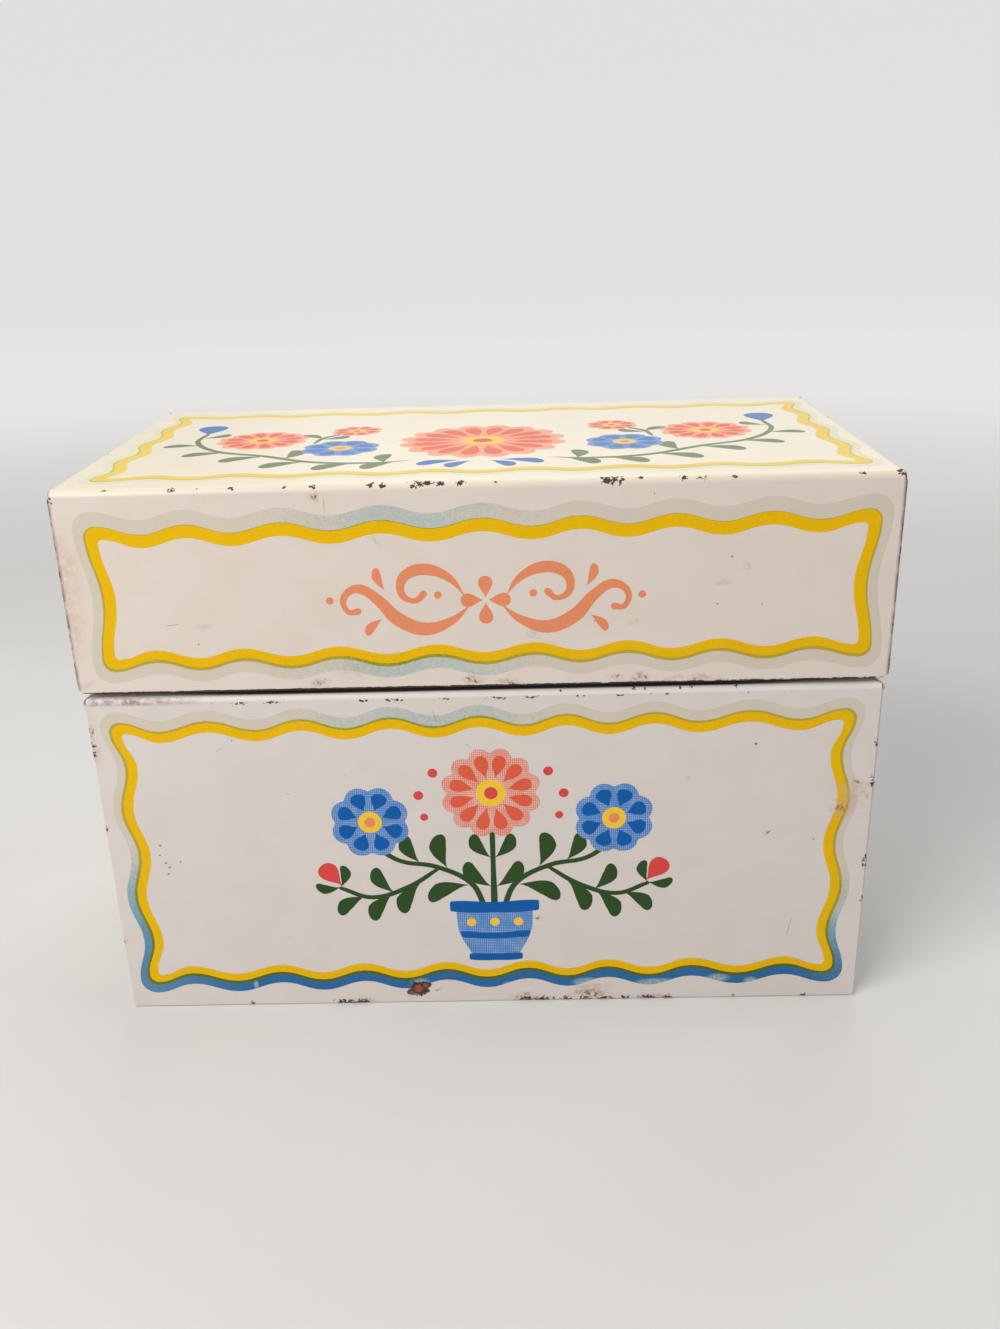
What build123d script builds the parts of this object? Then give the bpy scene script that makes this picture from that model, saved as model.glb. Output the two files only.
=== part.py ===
"""Recipe card box: a hinged box of folded tinplate that holds 3 by 5 inch cards.

Two blanks make it. Each is folded up from one flat sheet: a front, a middle and a back in one strip,
with a side wall on each end of the middle. The side walls bend round the upright corners and their
tabs lie behind the front and back panels, whose cut edges stay in view. The base sheet is joggled
in at its rim, which leaves a rounded shoulder and a neck for the lid to close over. The lid's lower
edge is a hem. At the back, tongues of both sheets are rolled round two lengths of wire.

Millimetres, +Z up, front towards -Y. The origin is the middle of the base's underside.
"""

from build123d import *

import os

# ---------------------------------------------------------------------------------------------
# Driving dimensions
# ---------------------------------------------------------------------------------------------

# Sheet
sheet = 0.30  # thickness of the tinplate, print coat included
panel_setback = 0.50  # cut edge of a front or back panel, in from the upright corner
corner_bend = 0.60  # outside radius where a side wall turns into its tab
tab_reach = 8.00  # how far a tab runs behind the front or back panel
mitre_gap = 0.20  # from the mitre line of two neighbouring rims to each rim, along the wall

# Base
base_length = 132.40  # over the side walls
base_depth = 72.60  # over the front and back panels
base_height = 61.70  # underside to the top of the shoulder
base_fold = 0.45  # outside radius along the bottom edges
base_relief = 0.45  # open notch above the bottom folds, at the upright corners
shoulder_bend = 1.00  # outside radius of the rounded shoulder
neck_bend = 0.40  # radius in the crook between shoulder and neck
neck_inset = 1.50  # outer face of the wall to outer face of the neck
neck_height = 4.50  # how far the neck stands above the shoulder

# Lid
lid_overhang = 0.50  # lid beyond the base, at the front and at each side
lid_height = 34.10  # lower edge of the hem to the top
lid_fold = 1.25  # outside radius along the top edges
lid_relief = 0.25  # open notch below the top folds, at the upright corners
lid_slit = 0.20  # slit at each top corner, between the side's fold and the front's or back's
seam_gap = 1.00  # shoulder to the lid's lower edge, with the lid shut
hem_bend = 0.45  # outside radius of each turn of the hem
hem_width = 1.00  # thickness of the hem, wall included
hem_turn_up = 4.00  # height of the layer turned up inside
lower_corner = 1.30  # rounding of the panels where the hem ends at an upright corner

# Hinges
wire_diameter = 1.60
wire_clearance = 0.05  # between wire and rolled knuckle, round it and at its ends
head_diameter = 2.10  # upset ends that keep the wire in place
head_length = 0.40
head_rounding = 0.15
knuckle_clearance = 0.35  # a knuckle to the notch cut for it in the other sheet
knuckle_play = 0.25  # sideways, from knuckle to knuckle
centre_knuckle = 10.00  # width of the lid's knuckle
end_knuckle = 7.00  # width of each of the base's two knuckles
hinge_inset = 28.20  # side wall of the base to the middle of each hinge
roll_sweep = 300.0  # degrees of each roll round the wire

# ---------------------------------------------------------------------------------------------
# Sizes that follow
# ---------------------------------------------------------------------------------------------

base_side = base_length / 2
base_back = base_depth / 2
neck_top = base_height + neck_height
base_bend_bottom = base_fold + base_relief
base_bend_top = base_height - shoulder_bend

# The lid overhangs the front but not the back, so its own middle lies a little forward
lid_side = base_side + lid_overhang
lid_depth = base_depth + lid_overhang
lid_back = lid_depth / 2
lid_middle = base_back - lid_back
lid_bottom = base_height + seam_gap
lid_top = lid_bottom + lid_height
lid_bend_bottom = lid_bottom + lower_corner
lid_bend_top = lid_top - lid_fold - lid_relief
hem_top = lid_bottom + hem_turn_up
hem_end = panel_setback + lower_corner  # the turned-up layer starts here, in from the corner

roll_inner = wire_diameter / 2 + wire_clearance
roll_outer = roll_inner + sheet
notch_radius = roll_outer + knuckle_clearance
hinge_y = base_back + roll_inner  # so that the rolls start tangent to both back panels
hinge_z = base_height + seam_gap / 2
hinge_offset = base_side - hinge_inset  # middle of the box to the middle of each hinge

# Along each wire, from the middle of its hinge
end_knuckle_start = centre_knuckle / 2 + knuckle_play
end_knuckle_end = end_knuckle_start + end_knuckle
head_start = end_knuckle_end + wire_clearance
wire_end = head_start + head_length
rim_start = wire_end + knuckle_play  # rim and hem run on from here

cut_over = 4 * neck_inset  # cutters run this far past the edge that they trim


def hinge_planes(start, end, both_ways=False):
    """YZ planes at the left end of a span, which is measured from the middle of each hinge."""
    left_ends = (-end, start) if both_ways else (start,)
    return [
        Plane.YZ.offset(hinge + left) for hinge in (-hinge_offset, hinge_offset) for left in left_ends
    ]


def rolled_tongue(foot, turn):
    """Section of a tongue: straight from height `foot` to the wire, then rolled round it.

    `turn` is -1 for a roll that goes over the wire first and 1 for one that goes under it.
    """
    with BuildLine() as outline:
        outer_roll = CenterArc((hinge_y, hinge_z), roll_outer, 180, turn * roll_sweep)
        inner_roll = CenterArc((hinge_y, hinge_z), roll_inner, 180, turn * roll_sweep)
        Line(outer_roll @ 1, inner_roll @ 1)
        Polyline(inner_roll @ 0, (base_back, foot), (base_back - sheet, foot), outer_roll @ 0)
    return make_face(outline.edges(), mode=Mode.PRIVATE)


def tab_outline(side, back):
    """Outer line of a left side wall in plan, from the end of one tab to the end of the other."""
    return [
        (-side + tab_reach, -back + sheet),
        (-side, -back + sheet),
        (-side, back - sheet),
        (-side + tab_reach, back - sheet),
    ]


# ---------------------------------------------------------------------------------------------
# Base: one blank
# ---------------------------------------------------------------------------------------------

base_bends = (base_fold, shoulder_bend, neck_bend)  # along a wall, from its foot to its neck


def base_wall(outer):
    """Outer line of a wall on the left of the section, from its foot to the rim of the neck."""
    neck = outer + neck_inset
    return [(outer, 0), (outer, base_height), (neck, base_height), (neck, neck_top)]


# Plan of what a rim leaves free past the mitre line; the rim runs along X from the corner at (0, 0)
beyond_mitre = [
    (mitre_gap - cut_over, -cut_over),
    (mitre_gap + cut_over, cut_over),
    (-cut_over, cut_over),
    (-cut_over, -cut_over),
]

# Front panel, bottom and back panel, in one strip
with BuildPart() as base_strip:
    with BuildSketch(Plane.YZ):
        with BuildLine():
            FilletPolyline(
                *reversed(base_wall(-base_back)),
                *[(-y, z) for y, z in base_wall(-base_back)],
                radius=(*reversed(base_bends), *base_bends),
            )
            offset(amount=sheet, side=Side.LEFT)
        make_face()
    extrude(amount=base_side - panel_setback, both=True)
    with BuildSketch(Plane.XY.offset(base_bend_top)):
        with Locations((-base_side, -base_back)):
            Polygon(*beyond_mitre, align=None)
        mirror(about=Plane.XZ)
        mirror(about=Plane.YZ)
    extrude(amount=cut_over + neck_height, mode=Mode.SUBTRACT)

# Side walls; the left one is made and then mirrored
with BuildPart() as base_sides:
    # Fold from the bottom, wall and rim
    with BuildSketch(Plane.XZ):
        with BuildLine():
            FilletPolyline(
                (-base_side + tab_reach, 0), *base_wall(-base_side), radius=base_bends
            )
            offset(amount=sheet, side=Side.RIGHT)
        make_face()
    extrude(amount=base_back - sheet - corner_bend, both=True)
    # The rim runs on past the upright bends, as far as the mitres
    with BuildSketch(Plane.XZ):
        with BuildLine():
            FilletPolyline(
                (-base_side, base_bend_top - sheet),
                *base_wall(-base_side)[1:],
                radius=base_bends[1:],
            )
            offset(amount=sheet, side=Side.RIGHT)
        make_face()
    extrude(amount=base_back, both=True)
    with BuildSketch(Plane.XY.offset(base_bend_top - sheet)):
        with Locations((-base_side, -base_back)):
            Polygon(*[(y, x) for x, y in beyond_mitre], align=None)
        mirror(about=Plane.XZ)
    extrude(amount=cut_over + neck_height, mode=Mode.SUBTRACT)
    # Upright bends and tabs
    with BuildSketch(Plane.XY.offset(base_bend_bottom)):
        with BuildLine():
            FilletPolyline(*tab_outline(base_side, base_back), radius=corner_bend)
            offset(amount=sheet, side=Side.RIGHT)
        make_face()
    extrude(amount=base_bend_top - base_bend_bottom)
    mirror(about=Plane.YZ)

with BuildPart() as base_shell:
    add(base_strip.part)
    add(base_sides.part)
    # The rim is cut away along each hinge
    with BuildSketch(*hinge_planes(-rim_start, rim_start)):
        with Locations((base_back, base_bend_top)):
            Rectangle(2 * cut_over, 2 * cut_over, align=(Align.CENTER, Align.MIN))
    extrude(amount=2 * rim_start, mode=Mode.SUBTRACT)
    # The wall is notched for the lid's knuckle, and two tongues are rolled over the wire
    with BuildSketch(*hinge_planes(-end_knuckle_start, end_knuckle_start)):
        with Locations((hinge_y, hinge_z)):
            Rectangle(2 * notch_radius, 2 * notch_radius)
    extrude(amount=2 * end_knuckle_start, mode=Mode.SUBTRACT)
    with BuildSketch(*hinge_planes(end_knuckle_start, end_knuckle_end, both_ways=True)):
        add(rolled_tongue(base_bend_top - sheet, -1))
    extrude(amount=end_knuckle)

base_shell.part.label = "base_shell"

# ---------------------------------------------------------------------------------------------
# Lid: one blank, drawn about the lid's own middle
# ---------------------------------------------------------------------------------------------

lid_bends = (lid_fold, hem_bend, hem_bend)  # along a wall, from the top to the hem
lid_section = Plane((0, lid_middle, 0), x_dir=(0, 1, 0), z_dir=(1, 0, 0))
lid_elevation = Plane((0, lid_middle, 0), x_dir=(1, 0, 0), z_dir=(0, -1, 0))


def lid_plan(height):
    """Horizontal plane at `height`, with its origin in the lid's middle."""
    return Plane((0, lid_middle, height))


def lid_wall(outer):
    """Outer line of a wall on the left of the section, from the top to the hem's free edge."""
    inner = outer + hem_width
    return [(outer, lid_top), (outer, lid_bottom), (inner, lid_bottom), (inner, hem_top)]


def rounded_off(corner):
    """What rounding takes off the lower left corner of a panel; its cut edge stands at `corner`."""
    with BuildLine() as outline:
        foot = Line((corner, lid_bottom), (corner + lower_corner, lid_bottom))
        rounding = RadiusArc(foot @ 1, (corner, lid_bend_bottom), lower_corner)
        Polyline(
            rounding @ 1,
            (corner - panel_setback, lid_bend_bottom),
            (corner - panel_setback, lid_bottom),
            foot @ 0,
        )
    return make_face(outline.edges(), mode=Mode.PRIVATE)


# Front panel, top and back panel, in one strip
with BuildPart() as lid_strip:
    with BuildSketch(lid_section):
        with BuildLine():
            FilletPolyline(
                *reversed(lid_wall(-lid_back)),
                *[(-y, z) for y, z in lid_wall(-lid_back)],
                radius=(*reversed(lid_bends), *lid_bends),
            )
            offset(amount=sheet, side=Side.RIGHT)
        make_face()
    extrude(amount=lid_side - panel_setback, both=True)
    # The top gives way to the folds of the side walls
    with BuildSketch(lid_plan(lid_bend_top)):
        with Locations((-lid_side, 0), (lid_side, 0)):
            Rectangle(2 * lid_fold, 2 * (lid_back - lid_fold))
    extrude(amount=lid_height, mode=Mode.SUBTRACT)
    # The turned-up layer of the hem stops short of the corners, which are rounded off
    with BuildSketch(lid_plan(lid_bottom)):
        with Locations((-lid_side, 0), (lid_side, 0)):
            Rectangle(2 * hem_end, 2 * (lid_back - sheet))
    extrude(amount=hem_turn_up, mode=Mode.SUBTRACT)
    with BuildSketch(lid_elevation):
        add(rounded_off(-lid_side + panel_setback))
        mirror(about=Plane.YZ)
    extrude(amount=lid_depth, both=True, mode=Mode.SUBTRACT)

# Side walls; the left one is made and then mirrored
with BuildPart() as lid_sides:
    # Fold from the top, wall and hem
    with BuildSketch(lid_elevation):
        with BuildLine():
            FilletPolyline(
                (-lid_side + tab_reach, lid_top), *lid_wall(-lid_side), radius=lid_bends
            )
            offset(amount=sheet, side=Side.LEFT)
        make_face()
    extrude(amount=lid_back - sheet - corner_bend, both=True)
    # The fold stops at the slits, and the hem stops and is rounded off as on the strip
    with BuildSketch(lid_plan(lid_bend_top)):
        with Locations((-lid_side, -lid_back), (-lid_side, lid_back)):
            Rectangle(2 * tab_reach, 2 * (lid_fold + lid_slit))
    extrude(amount=lid_height, mode=Mode.SUBTRACT)
    with BuildSketch(lid_plan(lid_bottom)):
        with Locations((-lid_side + sheet, -lid_back), (-lid_side + sheet, lid_back)):
            Rectangle(tab_reach, 2 * hem_end, align=(Align.MIN, Align.CENTER))
    extrude(amount=hem_turn_up, mode=Mode.SUBTRACT)
    with BuildSketch(lid_section):
        add(rounded_off(-lid_back + panel_setback))
        mirror(about=Plane.YZ)
    extrude(amount=lid_side, both=True, mode=Mode.SUBTRACT)
    # Upright bends and tabs
    with BuildSketch(lid_plan(lid_bend_bottom)):
        with BuildLine():
            FilletPolyline(*tab_outline(lid_side, lid_back), radius=corner_bend)
            offset(amount=sheet, side=Side.RIGHT)
        make_face()
    extrude(amount=lid_bend_top - lid_bend_bottom)
    mirror(about=Plane.YZ)

with BuildPart() as lid_shell:
    add(lid_strip.part)
    add(lid_sides.part)
    # Along each hinge the hem is left off
    with BuildSketch(*hinge_planes(-rim_start, rim_start)):
        Polygon(
            (base_back - sheet, hem_top),
            (base_back - sheet, lid_bottom + hem_bend),
            (base_back + cut_over, lid_bottom + hem_bend),
            (base_back + cut_over, lid_bottom - cut_over),
            (base_back - cut_over, lid_bottom - cut_over),
            (base_back - cut_over, hem_top),
            align=None,
        )
    extrude(amount=2 * rim_start, mode=Mode.SUBTRACT)
    # The wall is notched for the base's knuckles, and one tongue is rolled under the wire
    with BuildSketch(*hinge_planes(centre_knuckle / 2, rim_start, both_ways=True)):
        with Locations((hinge_y, hinge_z)):
            Rectangle(2 * notch_radius, 2 * notch_radius)
    extrude(amount=rim_start - centre_knuckle / 2, mode=Mode.SUBTRACT)
    with BuildSketch(*hinge_planes(-centre_knuckle / 2, centre_knuckle / 2)):
        add(rolled_tongue(lid_bottom + hem_bend + sheet, 1))
    extrude(amount=centre_knuckle)

lid_shell.part.label = "lid_shell"

# ---------------------------------------------------------------------------------------------
# Hinge wires, with upset ends
# ---------------------------------------------------------------------------------------------

with BuildPart() as hinge_wire_left:
    with BuildSketch(Plane.YZ.offset(-hinge_offset)):
        with Locations((hinge_y, hinge_z)):
            Circle(wire_diameter / 2)
    extrude(amount=head_start, both=True)
    with BuildSketch(*[Plane.YZ.offset(-hinge_offset + x) for x in (-wire_end, head_start)]):
        with Locations((hinge_y, hinge_z)):
            Circle(head_diameter / 2)
    extrude(amount=head_length)
    ends = hinge_wire_left.faces().sort_by(Axis.X)
    fillet(ends[0].edges() + ends[-1].edges(), radius=head_rounding)

with BuildPart() as hinge_wire_right:
    add(mirror(hinge_wire_left.part, about=Plane.YZ, mode=Mode.PRIVATE))

hinge_wire_left.part.label = "hinge_wire_left"
hinge_wire_right.part.label = "hinge_wire_right"

# ---------------------------------------------------------------------------------------------
# Files
# ---------------------------------------------------------------------------------------------

os.makedirs("parts", exist_ok=True)
for piece in (base_shell, lid_shell, hinge_wire_left, hinge_wire_right):
    export_step(piece.part, f"parts/{piece.part.label}.step")
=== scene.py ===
"""A recipe card box of printed tinplate: its print, its bare metal, its wear and its studio."""

import logging
import math
from dataclasses import dataclass
from enum import Enum
from functools import cached_property
from typing import Callable

import bpy
from mathutils import Matrix, Vector


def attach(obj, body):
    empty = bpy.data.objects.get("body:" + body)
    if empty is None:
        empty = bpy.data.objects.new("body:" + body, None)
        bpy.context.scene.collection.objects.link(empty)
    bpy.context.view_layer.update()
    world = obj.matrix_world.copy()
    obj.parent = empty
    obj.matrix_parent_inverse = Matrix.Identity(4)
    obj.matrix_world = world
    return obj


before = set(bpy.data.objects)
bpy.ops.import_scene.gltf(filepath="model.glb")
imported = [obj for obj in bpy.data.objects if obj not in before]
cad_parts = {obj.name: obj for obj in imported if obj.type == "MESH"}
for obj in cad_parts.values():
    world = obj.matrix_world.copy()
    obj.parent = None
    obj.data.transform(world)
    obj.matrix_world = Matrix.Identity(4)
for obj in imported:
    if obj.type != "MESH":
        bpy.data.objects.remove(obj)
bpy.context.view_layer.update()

MM = 0.001
FULL_TURN = 360.0
QUARTER_TURN = math.radians(90.0)
ROUND_HANDLE = 0.5523  # length of the handles that make a quarter circle, over its radius
WAVE_HANDLE = 0.40  # length of the handles at a crest, over the way to the next one
SOFT_HANDLE = 0.36  # length of the handles at a smooth point, over the way to the next one
SHARP_HANDLE = 0.3  # length of the handles at a sharp point, over the way to the next one
BRUSH_END = 0.42  # how far a brush stroke's round end stands out, over its width
SMALL_BUMP = 0.02  # depth of the relief of bare metal, in millimetres
PAINT_BUMP = 0.03  # depth of the relief of paint and ink, in millimetres
MARK_DEPTH = 5.0  # how far a mark on a panel reaches in and out, in millimetres

SIDES = (("left", -1.0), ("right", 1.0))

log = logging.getLogger("recipe_box")

Point = tuple[float, float]
Place = tuple[float, float, float]
Colour = tuple[float, float, float, float]
Rows = tuple[tuple[float, ...], ...]
Strokes = tuple[tuple[Rows, tuple[float, ...]], ...]


def linear(*channels: int) -> Colour:
    """Turn red, green and blue as named on screen, 0 to 255, into light values and full opacity."""
    shares = [channel / 255.0 for channel in channels]
    return *(s / 12.92 if s <= 0.04045 else ((s + 0.055) / 1.055) ** 2.4 for s in shares), 1.0


class Screen(Enum):
    """How an ink is laid down."""

    SOLID = 0.0
    TINT = 0.74
    PALE_TINT = 0.5


class Layer(Enum):
    """How far each pass of ink stands off the sheet, in millimetres."""

    FIRST = 0.004
    SECOND = 0.010
    THIRD = 0.014
    FOURTH = 0.018
    FIFTH = 0.022


@dataclass(frozen=True)
class Value:
    """What a node gives, so that sums on it read as sums."""

    graph: "Graph"
    socket: bpy.types.NodeSocket

    def __add__(self, other: "Feed") -> "Value":
        """Return the sum."""
        return self.graph.math("ADD", self, other)

    def __sub__(self, other: "Feed") -> "Value":
        """Return the difference."""
        return self.graph.math("SUBTRACT", self, other)

    def __rsub__(self, other: float) -> "Value":
        """Return a number less this one."""
        return self.graph.math("SUBTRACT", other, self)

    def __mul__(self, other: "Feed") -> "Value":
        """Return the product."""
        return self.graph.math("MULTIPLY", self, other)

    def __abs__(self) -> "Value":
        """Return the number without its sign."""
        return self.graph.math("ABSOLUTE", self)

    def most(self, other: "Feed") -> "Value":
        """Return the greater of two numbers."""
        return self.graph.math("MAXIMUM", self, other)

    def above(self, level: float) -> "Value":
        """Return 1 where the number is over a level, and 0 elsewhere."""
        return self.graph.math("GREATER_THAN", self, level)

    def ease(self, low: float, high: float, start: "Feed" = 0.0, end: "Feed" = 1.0) -> "Value":
        """Return a level that goes smoothly from start to end while the number goes low to high."""
        feeds = {"Value": self, "From Min": low, "From Max": high, "To Min": start, "To Max": end}
        return self.graph.take("ShaderNodeMapRange", 0, feeds, interpolation_type="SMOOTHSTEP")


Feed = float | tuple[float, ...] | Value


class Graph:
    """Lays shader nodes and joins them, so that a finish reads as a list of steps."""

    def __init__(self, tree: bpy.types.NodeTree) -> None:
        """Keep the tree that the nodes go into."""
        self.tree = tree

    def add(self, kind: str, feeds: dict[str | int, Feed], **settings: object) -> bpy.types.Node:
        """Add one node.

        Args:
            kind: The node's type.
            feeds: What each named or numbered input takes.
            settings: The node's own settings.

        Returns:
            The new node.
        """
        node = self.tree.nodes.new(kind)
        for name, value in settings.items():
            setattr(node, name, value)
        self.feed(node, feeds)
        return node

    def feed(self, node: bpy.types.Node, feeds: dict[str | int, Feed]) -> None:
        """Join a node's inputs to other nodes, or set their numbers.

        Args:
            node: The node.
            feeds: What each named or numbered input takes.
        """
        for name, value in feeds.items():
            if isinstance(value, Value):
                self.tree.links.new(value.socket, node.inputs[name])
            else:
                node.inputs[name].default_value = value

    def take(self, kind: str, output: str | int, feeds: dict[str | int, Feed],
             **settings: object) -> Value:
        """Add one node and return the one of its outputs that has this name or number."""
        return Value(self, self.add(kind, feeds, **settings).outputs[output])

    def math(self, operation: str, *values: Feed) -> Value:
        """Return the result of one sum on numbers."""
        return self.take("ShaderNodeMath", 0, dict(enumerate(values)), operation=operation)

    def vector(self, operation: str, *values: Feed, output: str = "Vector") -> Value:
        """Return the vector, or the number as output, that one sum on vectors gives."""
        feeds = dict(enumerate(values))
        return self.take("ShaderNodeVectorMath", output, feeds, operation=operation)

    def split(self, vector: Feed) -> tuple[Value, ...]:
        """Return the three parts of a vector."""
        parts = self.add("ShaderNodeSeparateXYZ", {0: vector}).outputs
        return tuple(Value(self, part) for part in parts)

    @cached_property
    def place(self) -> Value:
        """The place on the box at rest, in millimetres."""
        here = self.take("ShaderNodeTexCoord", "Object", {})
        return self.vector("MULTIPLY", here, (1.0 / MM,) * 3)

    @cached_property
    def axes(self) -> tuple[Value, ...]:
        """The place across the box, the depth and the height, in millimetres."""
        return self.split(self.place)

    def away(self, place: Feed, middle: Place, reach: Place, turn: float = 0.0) -> Value:
        """Say how far a place is from a middle, over a reach.

        Args:
            place: The place.
            middle: The middle.
            reach: The reach along each axis.
            turn: How far the reach is turned about the depth, in degrees.

        Returns:
            0 at the middle and 1 at the reach.
        """
        offset = self.vector("SUBTRACT", place, middle)
        if turn:
            feeds = {"Vector": offset, "Angle": math.radians(turn)}
            offset = self.take("ShaderNodeVectorRotate", 0, feeds, rotation_type="Y_AXIS")
        return self.vector("LENGTH", self.vector("DIVIDE", offset, reach), output="Value")

    def blend(self, share: Feed, first: Feed, second: Feed, way: str = "MIX") -> Value:
        """Blend the second colour over the first one by a share, from 0 to 1."""
        feeds = {0: share, 6: first, 7: second}
        return self.take("ShaderNodeMix", 2, feeds, data_type="RGBA", blend_type=way)

    def grain(self, size: float, detail: float = 2.0, roughness: float = 0.5,
              place: Feed | None = None, output: str | int = 0) -> Value:
        """Return a soft noise from 0 to 1, with its patches' size in millimetres.

        Args:
            size: The size of the patches.
            detail: How many finer noises are laid over it.
            roughness: How strong the finer noises are.
            place: The place that is read, or none for the place on the box.
            output: What is taken of it, a number or a colour.

        Returns:
            The noise.
        """
        feeds = {"Vector": place or self.place, "Scale": 1.0 / size, "Detail": detail,
                 "Roughness": roughness}
        return self.take("ShaderNodeTexNoise", output, feeds)

    def relief(self, height: Feed, depth: float, strength: float) -> Value:
        """Turn a height from 0 to 1, whose depth is in millimetres, into a bumped normal."""
        feeds = {"Height": height, "Distance": depth * MM, "Strength": strength}
        return self.take("ShaderNodeBump", "Normal", feeds)


@dataclass(frozen=True)
class Mark:
    """One mark that use has left on the box, in millimetres and degrees."""

    at: Place
    reach: Place
    lean: float = 0.0


def on_front(face: float, rows: Rows) -> tuple[Mark, ...]:
    """List marks on a front, each by its place across, height, two half sizes and any lean."""
    return tuple(
        Mark((across, face, height), (wide, MARK_DEPTH, high), *lean)
        for across, height, wide, high, *lean in rows
    )


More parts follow.
